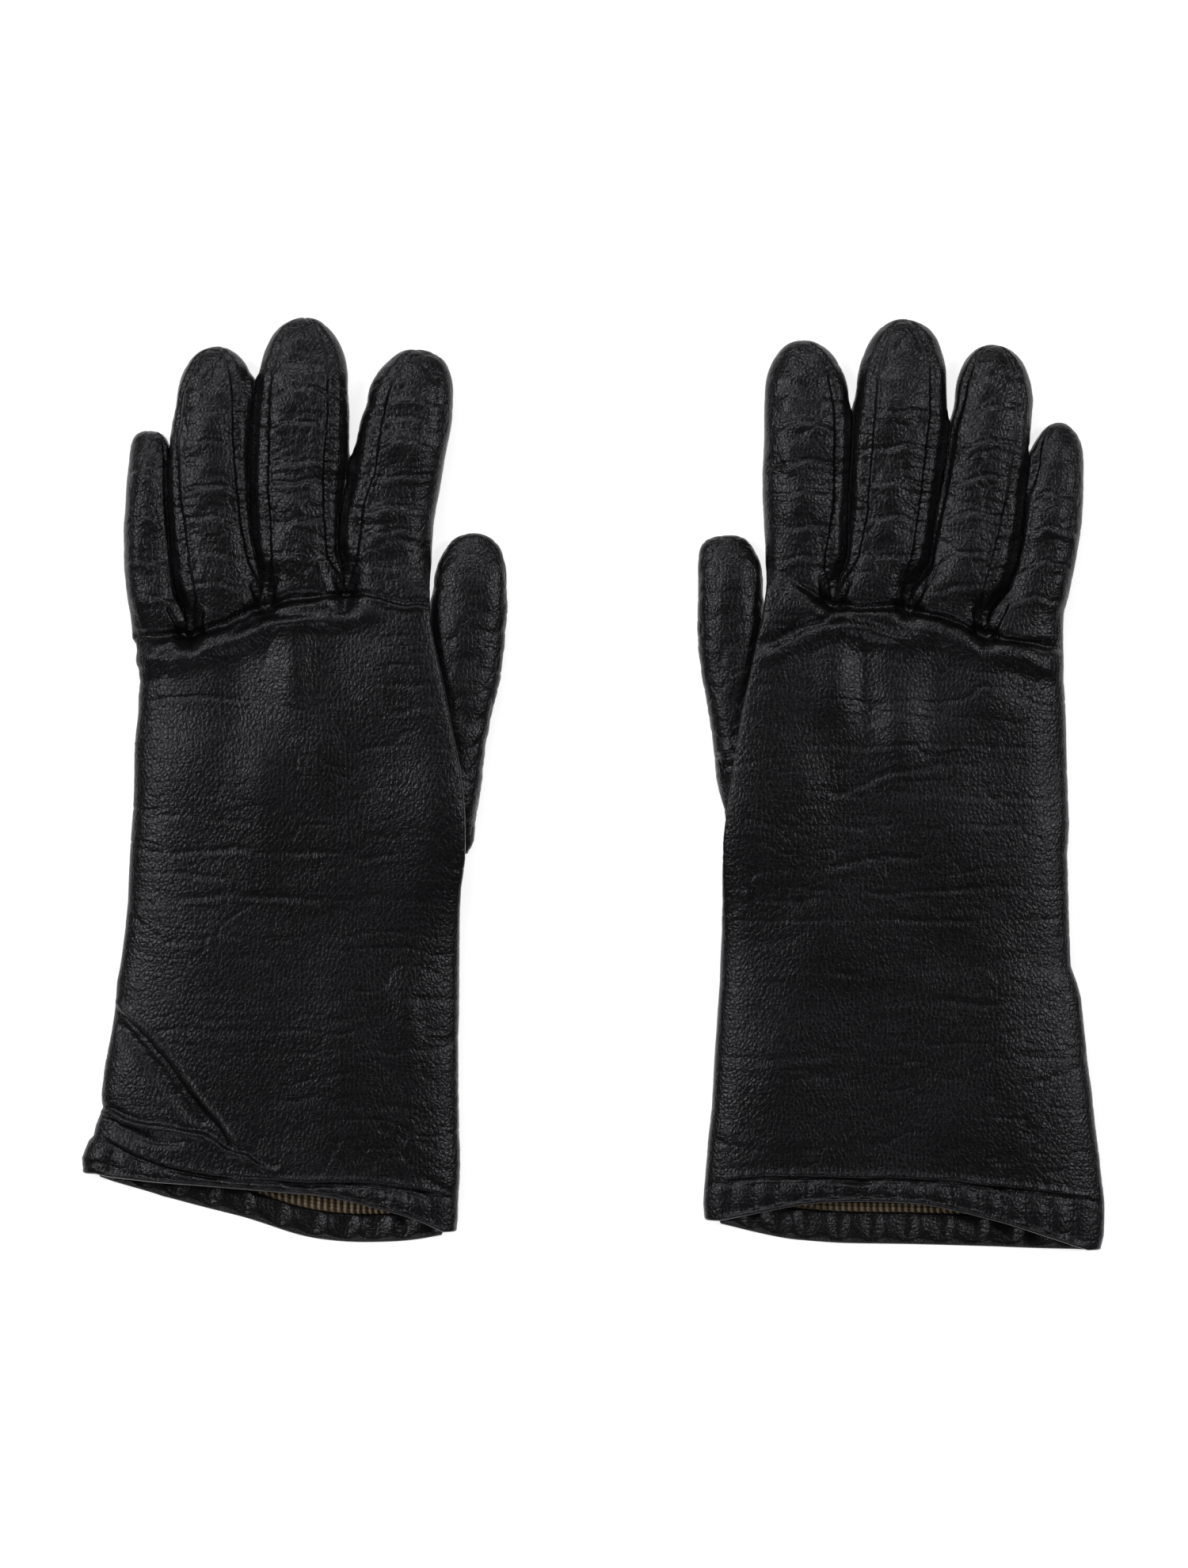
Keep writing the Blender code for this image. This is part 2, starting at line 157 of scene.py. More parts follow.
# ------------------------------------------------------------------ what the two gloves look like, in grid units
LEFT = {
    "name": "left", "thumb_side": 1, "seed": 3,
    "fingers": [
        {"name": "little", "rows": [(800, 166, 239), (780, 164, 232), (760, 162, 227), (740, 159, 224), (720, 157, 221),
                                    (700, 156, 219), (680, 156, 217), (660, 156, 216), (640, 158, 215), (620, 159, 215),
                                    (600, 160, 215), (583, 162, 215)],
         "tip": (189, 543), "p": 2.5, "top": 11.5, "low_seam": None,
         "high_seam": [(795, 234), (750, 227), (707, 219), (670, 214), (640, 211), (600, 209)]},
        {"name": "ring", "rows": [(790, 239, 331), (770, 233, 331), (743, 226, 330), (720, 221, 327), (689, 217, 321), (650, 215, 318),
                                  (613, 214, 317), (580, 214, 317), (554, 216, 318), (530, 218, 320), (505, 223, 322)],
         "tip": (274, 437), "p": 2.0, "top": 12.8,
         "low_seam": [(787, 252), (743, 249), (707, 241), (671, 235), (613, 227), (554, 224), (500, 231), (470, 240)],
         "high_seam": [(762, 328), (743, 322), (707, 314), (671, 308), (634, 304), (598, 301), (525, 298), (490, 297), (453, 294)]},
        {"name": "middle", "rows": [(754, 337, 438), (735, 333, 434), (720, 329, 431), (705, 326, 429), (689, 323, 429), (650, 319, 431),
                                    (616, 318, 436), (590, 319, 440), (554, 320, 442), (520, 322, 442), (486, 326, 440)],
         "tip": (384, 401), "p": 2.05, "top": 13.2,
         "low_seam": [(743, 345), (707, 343), (671, 341), (616, 338), (554, 338), (489, 341), (445, 348)],
         "high_seam": [(747, 433), (730, 425), (707, 417), (653, 413), (584, 413), (525, 418), (453, 418), (420, 413)]},
        {"name": "index", "rows": [(750, 441, 545), (735, 436, 546), (718, 432, 546), (690, 430, 546), (656, 432, 549), (613, 440, 557),
                                   (590, 443, 561), (576, 446, 563), (555, 450, 567), (533, 455, 571), (508, 463, 573)],
         "tip": (527, 440), "p": 2.05, "top": 12.8,
         "low_seam": [(745, 447), (730, 450), (689, 452), (642, 457), (598, 472), (565, 476), (533, 481), (482, 493), (458, 506)],
         "high_seam": None},
    ],
    "outer": [(166, 806), (545, 752)],
    "crotches": [(240, 800), (335, 757), (438, 750)],
    "left_edge": [(806, 166), (814, 171), (822, 173), (840, 173), (860, 175), (880, 173), (900, 173), (940, 169), (980, 169),
                  (1020, 168), (1060, 165), (1100, 163), (1140, 161), (1180, 157), (1220, 151), (1240, 147), (1260, 146),
                  (1280, 144), (1300, 141), (1320, 137), (1340, 133), (1360, 130), (1384, 128), (1400, 129), (1408, 126),
                  (1420, 121), (1434, 118), (1440, 112), (1452, 107), (1462, 103), (1480, 104), (1500, 112)],
    "right_edge": [(709, 545), (755, 544), (790, 545), (813, 549), (851, 557), (909, 569), (967, 581), (1025, 587), (1081, 588),
                   (1100, 586), (1120, 583), (1160, 581), (1220, 580), (1300, 579), (1360, 580), (1440, 581), (1460, 582),
                   (1500, 580), (1540, 579), (1560, 576)],
    # across the cuff, by grid column: the edge of its mouth on the back and on the palm side
    "mouth_back": [(104, 1468), (145, 1481), (199, 1488), (264, 1493), (344, 1500), (417, 1506), (475, 1521), (526, 1534),
                   (563, 1549), (578, 1556)],
    "mouth_palm": [(104, 1472), (120, 1483), (148, 1493), (235, 1518), (315, 1538), (350, 1550), (381, 1560), (420, 1566),
                   (453, 1568), (508, 1567), (545, 1564), (578, 1558)],
    "hem_line": [(104, 1426), (119, 1431), (163, 1453), (217, 1474), (294, 1489), (381, 1493), (453, 1494), (526, 1502), (578, 1513)],
    "facing": 7.0,
    "thumb": {"rows": [(1078, 570, 590), (1064, 560, 597), (1040, 552, 599), (1019, 547, 603), (983, 542, 609), (941, 538, 613.5),
                       (898, 535, 621), (856, 534, 633), (817, 536, 638), (780, 540, 640), (760, 543, 640), (740, 547, 639.5)],
              "tip": (598, 673), "p": 2.25, "seam": [(1064, 572), (940, 556), (850, 556), (800, 558), (772, 571), (755, 568), (727, 574), (700, 584), (686, 591)]},
}
RIGHT = {
    "name": "right", "thumb_side": -1, "seed": 41,
    "fingers": [
        {"name": "index", "rows": [(750, 967, 1054), (735, 967, 1061), (715, 966, 1065), (684, 965, 1067), (648, 963, 1067), (600, 962, 1069),
                                   (575, 963, 1072), (551, 964, 1073), (526, 964, 1073), (503, 965, 1072)],
         "tip": (1015, 430), "p": 2.05, "top": 12.8, "low_seam": None,
         "high_seam": [(757, 1047), (741, 1042), (719, 1040), (684, 1046), (630, 1055), (594, 1055), (523, 1055), (466, 1047), (445, 1038)]},
        {"name": "middle", "rows": [(757, 1055, 1152), (737, 1062, 1166), (701, 1067, 1171), (684, 1068, 1174), (640, 1069, 1180), (594, 1071, 1189),
                                    (541, 1074, 1196), (520, 1076, 1197), (489, 1081, 1196)],
         "tip": (1142, 402), "p": 2.05, "top": 13.2,
         "low_seam": [(757, 1059), (730, 1073), (701, 1081), (651, 1091), (594, 1095), (523, 1101), (459, 1106), (419, 1114)],
         "high_seam": [(757, 1141), (730, 1144), (694, 1153), (651, 1160), (594, 1167), (523, 1175), (466, 1176), (426, 1169)]},
        {"name": "ring", "rows": [(790, 1147, 1249), (762, 1152, 1261), (737, 1168, 1271), (700, 1173, 1282), (659, 1178, 1288), (630, 1184, 1290),
                                  (580, 1194, 1296), (537, 1199, 1300), (506, 1205, 1303)],
         "tip": (1254, 434), "p": 2.05, "top": 12.8,
         "low_seam": [(762, 1154), (741, 1171), (701, 1177), (659, 1185), (609, 1194), (551, 1203), (509, 1214), (466, 1221)],
         "high_seam": [(794, 1238), (773, 1232), (737, 1240), (684, 1256), (623, 1271), (559, 1281), (498, 1286), (455, 1281)]},
        {"name": "little", "rows": [(800, 1247, 1342), (790, 1250, 1342), (769, 1259, 1344), (745, 1269, 1350), (719, 1279, 1356), (700, 1284, 1360),
                                    (659, 1290, 1366), (616, 1294, 1369), (598, 1298, 1369)],
         "tip": (1338, 534), "p": 2.1, "top": 11.5,
         "low_seam": [(791, 1249), (751, 1269), (694, 1283), (651, 1292), (620, 1300), (590, 1309)], "high_seam": None},
    ],
    "outer": [(967, 748), (1342, 808)],
    "crotches": [(1052, 759), (1147, 762), (1243, 795)],
    "left_edge": [(700, 966), (748, 966), (780, 962), (830, 950), (900, 935), (960, 925), (1000, 920), (1030, 915), (1060, 912),
                  (1100, 911), (1180, 911), (1240, 910), (1300, 906), (1340, 903), (1400, 900), (1440, 895), (1460, 893),
                  (1500, 889), (1520, 888), (1545, 890)],
    "right_edge": [(808, 1342), (860, 1342), (880, 1344), (920, 1346), (980, 1348), (1040, 1350), (1080, 1348), (1120, 1349),
                   (1180, 1351), (1220, 1353), (1240, 1360), (1260, 1365), (1300, 1369), (1340, 1372), (1380, 1377),
                   (1420, 1381), (1460, 1388), (1500, 1393), (1520, 1395), (1560, 1394), (1580, 1390)],
    "mouth_back": [(888, 1539), (910, 1534), (949, 1528), (1003, 1518), (1039, 1513), (1092, 1512), (1164, 1515), (1210, 1525),
                   (1271, 1541), (1324, 1558), (1374, 1573), (1393, 1577)],
    "mouth_palm": [(888, 1542), (931, 1551), (965, 1558), (996, 1564), (1060, 1569), (1146, 1570), (1253, 1573), (1330, 1576), (1393, 1578)],
    "hem_line": [(888, 1493), (899, 1491), (967, 1487), (1039, 1487), (1146, 1489), (1217, 1494), (1289, 1501), (1342, 1509), (1393, 1519)],
    "facing": 8.0,
    "thumb": {"rows": [(1034, 916, 932), (1020, 914, 944), (1000, 908, 952), (980, 904, 957), (940, 900, 964), (900, 895, 968), (860, 887, 970),
                       (820, 882, 971), (790, 881, 969), (760, 881, 966), (740, 881, 964)],
              "tip": (917, 676), "p": 2.8, "seam": [(1020, 938), (900, 955), (820, 950), (760, 945), (720, 935), (690, 922)]},
}

# Creases pressed into the backs: grid points, depth mm, width mm, height of the roll beside it, and
# which side the roll is on (+1 towards the fingertips).
CREASES = {
    "left": [
        ([(160, 803), (200, 806), (235, 802), (265, 794), (294, 783), (320, 772), (344, 763), (369, 758), (403, 755)], 1.9, 1.6, 0.35, -1),
        ([(165, 834), (235, 830), (294, 812), (344, 792), (403, 780), (470, 776)], -1.5, 3.4, 0, 1),
        ([(214, 765), (226, 790), (240, 804), (250, 797), (257, 775)], 0.8, 0.6, 0.3, -1),
        ([(318, 735), (325, 752), (335, 763), (343, 755), (347, 735)], 0.8, 0.6, 0.3, -1),
        ([(424, 728), (430, 746), (438, 756), (447, 748), (451, 728)], 0.8, 0.6, 0.3, -1),
        ([(390, 756), (432, 755), (461, 752), (480, 755), (510, 759), (548, 764)], 0.9, 0.8, 0.35, -1),
        ([(290, 797), (315, 787), (334, 781), (357, 779), (392, 777), (415, 776), (450, 777)], 0.8, 1.6, 0.2, -1),
        ([(170, 812), (200, 822), (240, 812)], 0.5, 1.2, 0.3, 1),
        ([(174, 885), (220, 881), (279, 884), (330, 888), (366, 893), (417, 907)], 0.45, 0.7, 0.22, -1),
        ([(392, 893), (440, 890), (500, 897), (560, 894)], 0.25, 0.8, 0.15, -1),
        ([(171, 929), (215, 924), (262, 930)], 0.3, 0.7, 0.2, -1),
        ([(440, 806), (470, 815), (500, 818), (540, 822)], 0.22, 1.0, 0.2, -1),
        ([(172, 845), (205, 838), (225, 828)], 0.5, 1.0, 0.3, -1),
        ([(174, 862), (200, 856), (222, 847)], 0.35, 0.9, 0.2, -1),
        ([(186, 1034), (240, 1027), (290, 1038), (340, 1046)], 0.25, 0.8, 0.2, -1),
        ([(168, 1072), (230, 1078), (300, 1074), (370, 1077), (450, 1082), (520, 1080)], 0.4, 0.9, 0.25, -1),
        ([(168, 1102), (235, 1103), (290, 1110), (330, 1117)], 0.35, 0.8, 0.2, -1),
        ([(164, 1124), (225, 1133), (300, 1131), (420, 1137), (500, 1134), (575, 1139)], 0.45, 1.0, 0.3, -1),
        ([(162, 1150), (180, 1166), (200, 1180)], 0.5, 1.0, 0.3, 1),
        ([(165, 1184), (230, 1188), (300, 1184), (370, 1187)], 0.35, 0.9, 0.2, -1),
        ([(215, 1298), (300, 1303), (380, 1298), (450, 1281), (500, 1282)], 0.14, 1.2, 0.12, -1),
        ([(146, 1270), (177, 1299), (200, 1326), (223, 1352), (247, 1386), (277, 1420), (292, 1446)], 0.62, 0.8, 0.7, 1),
        ([(148, 1288), (172, 1314), (206, 1356), (238, 1398), (266, 1426)], 1.05, 2.8, 0.0, 1),
        ([(126, 1396), (157, 1407), (190, 1414), (230, 1421), (263, 1429), (290, 1447), (323, 1458), (347, 1468)], 0.62, 0.9, 0.75, -1),
        ([(134, 1414), (157, 1422), (180, 1433), (200, 1439), (228, 1440)], 0.95, 1.2, 0.0, -1),
        ([(114, 1437), (163, 1454), (217, 1473), (294, 1488), (381, 1493), (453, 1494), (526, 1502), (580, 1513)], 0.6, 0.7, 0.0, 1),
        ([(362, 1420), (358, 1448), (349, 1482)], 0.3, 0.8, 0.25, 1),
        ([(430, 1440), (405, 1484)], 0.3, 0.9, 0.2, 1),
        ([(545, 1400), (500, 1440), (455, 1482)], 0.25, 1.6, 0.2, 1),
        ([(535, 1482), (560, 1496), (580, 1506)], 0.4, 1.2, 0.25, 1),
        ([(478, 1206), (515, 1235), (540, 1292)], 0.3, 3.0, 0.0, 1),
    ],
    "right": [
        ([(960, 716), (985, 724), (999, 731), (1024, 748), (1053, 764), (1085, 768), (1110, 767), (1146, 768), (1181, 777),
          (1212, 789), (1243, 799), (1289, 812), (1345, 818)], 1.5, 1.3, 0.3, -1),
        ([(1000, 760), (1060, 790), (1120, 792), (1181, 800), (1240, 822), (1330, 842)], -1.3, 3.2, 0, 1),
        ([(958, 816), (985, 806), (1005, 795), (1031, 786), (1060, 782), (1092, 785), (1120, 791), (1150, 800)], 1.0, 1.8, 0.55, -1),
        ([(1092, 816), (1089, 850), (1092, 890), (1100, 920)], 0.75, 4.2, 0, 1),
        ([(1034, 735), (1040, 752), (1052, 764), (1064, 752), (1073, 735)], 0.8, 0.6, 0.3, -1),
        ([(1139, 738), (1140, 757), (1147, 767), (1156, 757), (1166, 740)], 0.8, 0.6, 0.3, -1),
        ([(1230, 770), (1234, 790), (1243, 801), (1255, 790), (1268, 765)], 0.8, 0.6, 0.3, -1),
        ([(1074, 905), (1130, 903), (1200, 909), (1289, 916)], 0.4, 0.8, 0.25, -1),
        ([(1010, 944), (1100, 945), (1200, 941), (1300, 948)], 0.3, 0.8, 0.2, -1),
        ([(967, 1037), (1000, 1022), (1039, 1012), (1080, 994), (1117, 980), (1180, 969), (1235, 966)], 0.4, 1.0, 0.3, -1),
        ([(1000, 996), (1100, 1008), (1200, 1004), (1320, 1010)], 0.25, 0.9, 0.2, -1),
        ([(930, 1046), (1040, 1042), (1150, 1047), (1290, 1043)], 0.3, 0.8, 0.2, -1),
        ([(940, 1104), (978, 1101), (1040, 1096), (1110, 1082), (1160, 1080)], 0.5, 0.9, 0.3, -1),
        ([(930, 1124), (1020, 1121), (1120, 1126), (1240, 1120), (1330, 1124)], 0.4, 0.8, 0.25, -1),
        ([(940, 1163), (1060, 1160), (1200, 1165), (1340, 1160)], 0.3, 0.8, 0.2, -1),
        ([(1348, 1180), (1300, 1204), (1240, 1216)], 0.3, 1.2, 0.25, 1),
        ([(1362, 1246), (1310, 1262), (1250, 1266), (1180, 1262)], 0.35, 1.2, 0.25, -1),
        ([(912, 1230), (1000, 1224), (1090, 1232)], 0.25, 1.0, 0.2, -1),
        ([(905, 1330), (980, 1338), (1080, 1330), (1160, 1336)], 0.2, 1.2, 0.18, -1),
        ([(1372, 1345), (1320, 1362), (1250, 1372)], 0.3, 1.3, 0.2, -1),
        ([(898, 1440), (960, 1452), (1040, 1449)], 0.3, 1.3, 0.25, 1),
        ([(890, 1500), (899, 1493), (967, 1488), (1039, 1488), (1146, 1490), (1217, 1495), (1289, 1502), (1342, 1510), (1396, 1520)], 0.7, 0.7, 0.0, 1),
    ],
}
# Low swellings of the backs: grid column and row, reach both ways, height mm
MOUNDS = {
    "left": [(250, 468, 13, 14, 0.5), (262, 532, 15, 20, 0.5), (372, 430, 20, 12, 0.5), (380, 458, 26, 8, -0.4), (520, 468, 18, 16, 0.5),
             (180, 600, 12, 24, 0.5), (250, 640, 16, 16, 0.4), (375, 640, 18, 18, 0.45), (500, 560, 20, 16, 0.4), (480, 660, 20, 22, 0.4),
             (372, 850, 26, 70, 1.2), (410, 935, 30, 60, 0.8), (330, 985, 36, 46, 0.9), (300, 860, 24, 60, -0.5),
             (540, 1040, 28, 80, 0.25), (518, 1265, 20, 60, 0.65), (230, 960, 50, 60, 0.5), (450, 1000, 44, 90, -0.25),
             (470, 870, 40, 60, 0.5), (250, 1180, 60, 60, 0.5), (420, 1340, 60, 80, 0.4)],
    "right": [(1005, 470, 20, 16, 0.5), (1030, 540, 18, 18, 0.4), (1135, 430, 20, 12, 0.5), (1130, 520, 20, 18, 0.4), (1250, 465, 18, 12, 0.5),
             (1240, 560, 20, 20, 0.4), (1335, 570, 12, 18, 0.5), (1130, 620, 20, 20, 0.4), (1010, 640, 24, 24, 0.4),
             (1050, 860, 26, 55, 1.1), (1135, 915, 26, 60, 1.0), (1245, 870, 36, 50, 0.9), (1180, 880, 20, 60, -0.4),
              (1010, 980, 30, 60, 0.6), (1200, 1040, 50, 60, 0.5), (1060, 1180, 60, 70, 0.5), (1270, 1300, 40, 80, 0.5),
              (980, 1350, 40, 80, 0.5), (1330, 980, 16, 80, -0.5)],
}
# Creases across the fingers: finger, grid row at its middle, lift of its ends, depth
FOLDS = {
    "left": [("little", 600, -4, 0.3), ("little", 655, 5, 0.35), ("little", 708, 3, 0.45), ("little", 752, 6, 0.3),
             ("ring", 488, 10, 0.35), ("ring", 520, -6, 0.3), ("ring", 560, 8, 0.3), ("ring", 617, 3, 0.5), ("ring", 655, 4, 0.35),
             ("ring", 700, 6, 0.3), ("ring", 738, 6, 0.25),
             ("middle", 444, 8, 0.3), ("middle", 464, 5, 0.35), ("middle", 492, 9, 0.35), ("middle", 536, 4, 0.45), ("middle", 583, 8, 0.4),
             ("middle", 609, 3, 0.55), ("middle", 659, 3, 0.35), ("middle", 700, 5, 0.25),
             ("index", 478, 8, 0.35), ("index", 505, 6, 0.4), ("index", 530, 5, 0.3), ("index", 560, 6, 0.3), ("index", 602, 3, 0.5),
             ("index", 640, 8, 0.4), ("index", 672, 4, 0.3), ("index", 715, 6, 0.2)],
    "right": [("index", 470, 8, 0.35), ("index", 500, 5, 0.3), ("index", 536, 5, 0.4), ("index", 585, 4, 0.45), ("index", 622, 5, 0.4),
              ("index", 665, 6, 0.35), ("index", 705, 4, 0.3),
              ("middle", 440, 6, 0.3), ("middle", 474, 8, 0.35), ("middle", 520, 5, 0.4), ("middle", 566, 4, 0.45), ("middle", 610, 5, 0.4),
              ("middle", 655, 6, 0.35), ("middle", 702, 4, 0.3),
              ("ring", 476, 7, 0.35), ("ring", 515, 5, 0.35), ("ring", 560, 4, 0.45), ("ring", 604, 5, 0.4), ("ring", 650, 5, 0.35),
              ("ring", 700, 5, 0.35), ("ring", 742, 4, 0.25),
              ("little", 580, 5, 0.35), ("little", 625, 4, 0.4), ("little", 668, 5, 0.35), ("little", 712, 5, 0.4), ("little", 756, 4, 0.3)],
}

Q = 1.0
ND, NS = int(44 * Q), int(16 * Q)             # columns on a finger's back or palm, and on each of its sides
CUFF_TOP, HAND_TOP = 11.3, 12.4
THUMB_LIFT, THUMB_TOP = 9.6, 9.3
HAND_POWER = 3.3            # how square the hand's section is
EDGE_C = 0.93               # where the hand's back turns over into its side


def crown(c, power):
    return np.maximum(0.0, 1.0 - np.abs(c) ** power) ** (1.0 / power)


class Skin:
    """Vertices and faces of one glove, before it is cut into its pieces."""

    def __init__(self):
        self.co, self.count, self.faces, self.groove = [], 0, {}, {}

    def add(self, points):
        points = np.asarray(points, float).reshape(-1, 3)
        index = np.arange(self.count, self.count + len(points))
        self.co.append(points)
        self.count += len(points)
        return index

    def quads(self, piece, grid, closed=False):
        a, b = grid[:-1], grid[1:]
        if closed:
            f = np.stack([a, np.roll(a, -1, 1), np.roll(b, -1, 1), b], -1)
        else:
            f = np.stack([a[:, :-1], a[:, 1:], b[:, 1:], b[:, :-1]], -1)
        self.faces.setdefault(piece, []).append(f.reshape(-1, 4))

    def fan(self, piece, ring, tip):
        f = np.stack([ring, np.roll(ring, -1), np.full(len(ring), tip), np.full(len(ring), -1)], -1)
        self.faces.setdefault(piece, []).append(f)


def side_angles(top_c, bottom_c, power, n):
    """Angles from the back's edge round the side to the palm's edge, ends left out."""
    a = np.arccos(np.clip(top_c, 0, 1) ** (power / 2))
    b = np.arccos(np.clip(bottom_c, 0, 1) ** (power / 2))
    return a[..., None] + (-b - a)[..., None] * (np.arange(1, n) / n)


def section(theta, power):
    co, si = np.cos(theta), np.sin(theta)
    return np.sign(co) * np.abs(co) ** (2 / power), np.sign(si) * np.abs(si) ** (2 / power)


def hand_heights(glove, c, y):
    """Height of the edge line, of the back's crown and of the underside, at share c of the half width."""
    t = c * glove["thumb_side"]
    over = smooth(-21.5, -6.5, y)
    lift = THUMB_LIFT * over * smooth(0.6, 0.86, t)
    top = CUFF_TOP + (HAND_TOP - CUFF_TOP) * smooth(-60, 0, y)
    early = smooth(-52, -8, y)
    top = top + 1.2 * early * smooth(0.3, 0.95, t)
    edge = 4.6 + (THUMB_LIFT + 2.4 - 4.6) * smooth(0.3, 0.86, t) * early
    return np.maximum(edge, lift + 2.2), top, lift


def build_skin(glove):
    skin = Skin()
    fingers = glove["fingers"]
    out0, out1 = glove["outer"]
    bounds_u = [out0[0]] + [c[0] for c in glove["crotches"]] + [out1[0]]
    bounds_v = [out0[1]] + [c[1] for c in glove["crotches"]] + [out1[1]]
    bx, by = gx(bounds_u), gy(bounds_v)

    def edges(y):
        return table(glove["left_edge"], y), table(glove["right_edge"], y)

    # share of the width of each bound, and of every column of the back
    left, right = edges(by)
    c_bound = (bx - (left + right) / 2) / ((right - left) / 2)
    c_bound[0], c_bound[-1] = -EDGE_C, EDGE_C
    c_cols = np.concatenate([c_bound[i] + (c_bound[i + 1] - c_bound[i]) * np.arange(ND) / ND for i in range(4)] + [[EDGE_C]])
    y_top = np.interp(c_cols, c_bound, by)
    n_cols = len(c_cols)

    # rows: mouth to hem line, hem line to the crotches
    rows_hem, rows_body = 16, int(330 * Q)
    def across(points, c, y_guess):
        """Reads a line across the cuff at shares c."""
        l, r = edges(y_guess)
        x = (l + r) / 2 + (r - l) / 2 * c
        return np.interp(x, gx([q[0] for q in points]), gy([q[1] for q in points]))

    def eased(line, reach=14):
        """Rounds the corners of a line across the cuff, its two ends kept."""
        if len(line) < 3 * reach:
            return line
        padded = np.concatenate([2 * line[0] - line[reach:0:-1], line, 2 * line[-1] - line[-2:-reach - 2:-1]])
        kernel = np.hanning(2 * reach + 3)[1:-1]
        return np.convolve(padded, kernel / kernel.sum(), "valid")

    def column_rows(c, y_end, back):
        mouth = across(glove["mouth_back" if back else "mouth_palm"], c, np.full(len(c), -120.0))
        hem = across(glove["hem_line"], c, np.full(len(c), -112.0))
        if not back:
            hem = mouth + 7.5
        mouth, hem = eased(mouth), eased(hem)
        side = np.clip(np.abs(c), 0, 1) ** 10
        both = (across(glove["mouth_back"], c, np.full(len(c), -120.0)) + across(glove["mouth_palm"], c, np.full(len(c), -120.0))) / 2
        mouth = mouth * (1 - side) + both * side
        hem = hem * (1 - side) + across(glove["hem_line"], c, np.full(len(c), -112.0)) * side
        t = np.arange(rows_hem) / rows_hem
        low = mouth[None] + (hem - mouth)[None] * t[:, None]
        t = np.arange(rows_body + 1) / rows_body
        return np.concatenate([low, hem[None] + (y_end - hem)[None] * t[:, None]])

    def dip(x, y):
        """The back sinks towards each crotch."""
        total = np.zeros(np.shape(x))
        for (u, v) in glove["crotches"]:
            dx, dy = x - gx(u), y - gy(v)
            total = np.maximum(total, 3.6 * np.exp(-(dx / 3.0) ** 2) * np.exp(-(np.minimum(dy, 0) / 5.0) ** 2))
        return total

    def surface(c, y, back):
        l, r = edges(y)
        x = (l + r) / 2 + (r - l) / 2 * c
        edge, top, lift = hand_heights(glove, c, y)
        if back:
            z = edge + (top - edge) * crown(c, HAND_POWER) - dip(x, y)
        else:
            z = edge - (edge - lift) * crown(c, 4.0) + 0.35 * dip(x, y)
        return np.stack([x, y, z], -1)

    def side(sign, y_end):
        """Side of the hand and cuff, from the back's edge down to the palm's."""
        theta = side_angles(np.array([EDGE_C]), np.array([EDGE_C]), HAND_POWER, NS)[0]
        cx, cz = section(theta, HAND_POWER)
        cz = np.where(cz < 0, -crown(np.abs(cx), 4.0), cz)
        grid = []
        back_rows = column_rows(np.array([sign * EDGE_C]), np.array([y_end]), True)[:, 0]
        for k in range(NS - 1):
            y = back_rows
            c = sign * cx[k] * np.ones_like(y)
            l, r = edges(y)
            x = (l + r) / 2 + (r - l) / 2 * c
            edge, top, lift = hand_heights(glove, c, y)
            z = np.where(cz[k] >= 0, edge + (top - edge) * cz[k], edge + (edge - lift) * cz[k])
            grid.append(np.stack([x, y, z], -1))
        return np.stack(grid, 1)

    y_back = column_rows(c_cols, y_top, True)
    y_palm = column_rows(c_cols, y_top, False)
    y_palm[:, 0], y_palm[:, -1] = y_back[:, 0], y_back[:, -1]
    back = surface(np.broadcast_to(c_cols, y_back.shape), y_back, True)
    palm = surface(np.broadcast_to(c_cols, y_palm.shape), y_palm, False)
    high = side(1, y_top[-1])
    low = side(-1, y_top[0])[:, ::-1]
    ring = np.concatenate([back, high, palm[:, ::-1], low], 1)
    n_rows = len(ring)
    grid = skin.add(ring).reshape(n_rows, -1)
    i_back = np.arange(n_cols)
    i_high = n_cols + np.arange(NS - 1)
    i_palm = n_cols + NS - 1 + np.arange(n_cols)      # from the right to the left
    half_high = n_cols + (NS - 1) // 2
    half_low = n_cols + NS - 1 + n_cols + (NS - 1) // 2
    total = grid.shape[1]
    body = grid[rows_hem:]
    back_columns = np.concatenate([np.arange(half_low, total), np.arange(0, half_high + 1)])
    palm_columns = np.arange(half_high, half_low + 1)
    skin.quads("trank_back", body[:, back_columns])
    skin.quads("trank_palm", body[:, palm_columns])
    skin.quads("cuff_hem", grid[:rows_hem + 1], closed=True)

    # the hem band lies lower than the cuff above it and is gathered; short pleats run up from its line
    line = ring[rows_hem, :, :]
    place = np.concatenate([[0], np.cumsum(np.hypot(np.diff(line[:, 0]), np.diff(line[:, 2])))])
    lump = np.abs(np.cos(math.pi * place / 7.4 + 0.7 * np.sin(place / 13.0))) ** 0.6
    top_half = np.zeros(total)
    top_half[:n_cols] = np.minimum(1, np.minimum(np.arange(n_cols), np.arange(n_cols)[::-1]) / 10.0)
    for r in range(rows_hem):
        t = r / rows_hem
        shape = float(smooth(1.0, 0.87, t)) * float(smooth(-0.02, 0.12, t))
        value = (-0.95 + 0.75 * lump * math.sin(math.pi * min(1.0, 0.1 + 0.9 * t)) ** 0.8) * shape
        for col in range(n_cols):
            skin.groove[grid[r, col]] = float(value[col] * top_half[col])
    for r in range(rows_hem, rows_hem + 14):
        up_by = (r - rows_hem) * 0.45
        pleat = np.maximum(0, np.sin(2 * math.pi * place / 3.3 + 2.0 * np.sin(place / 9.0))) * (0.5 + 0.5 * np.sin(place / 11.0))
        value = 0.35 * math.exp(-((up_by - 0.9) / 0.9) ** 2) - 0.16 * pleat * math.exp(-(up_by / 3.0) ** 2) * min(1.0, up_by)
        if r == rows_hem:
            value = value - 0.7
        for col in range(n_cols):
            skin.groove[grid[r, col]] = float(value[col] * top_half[col])

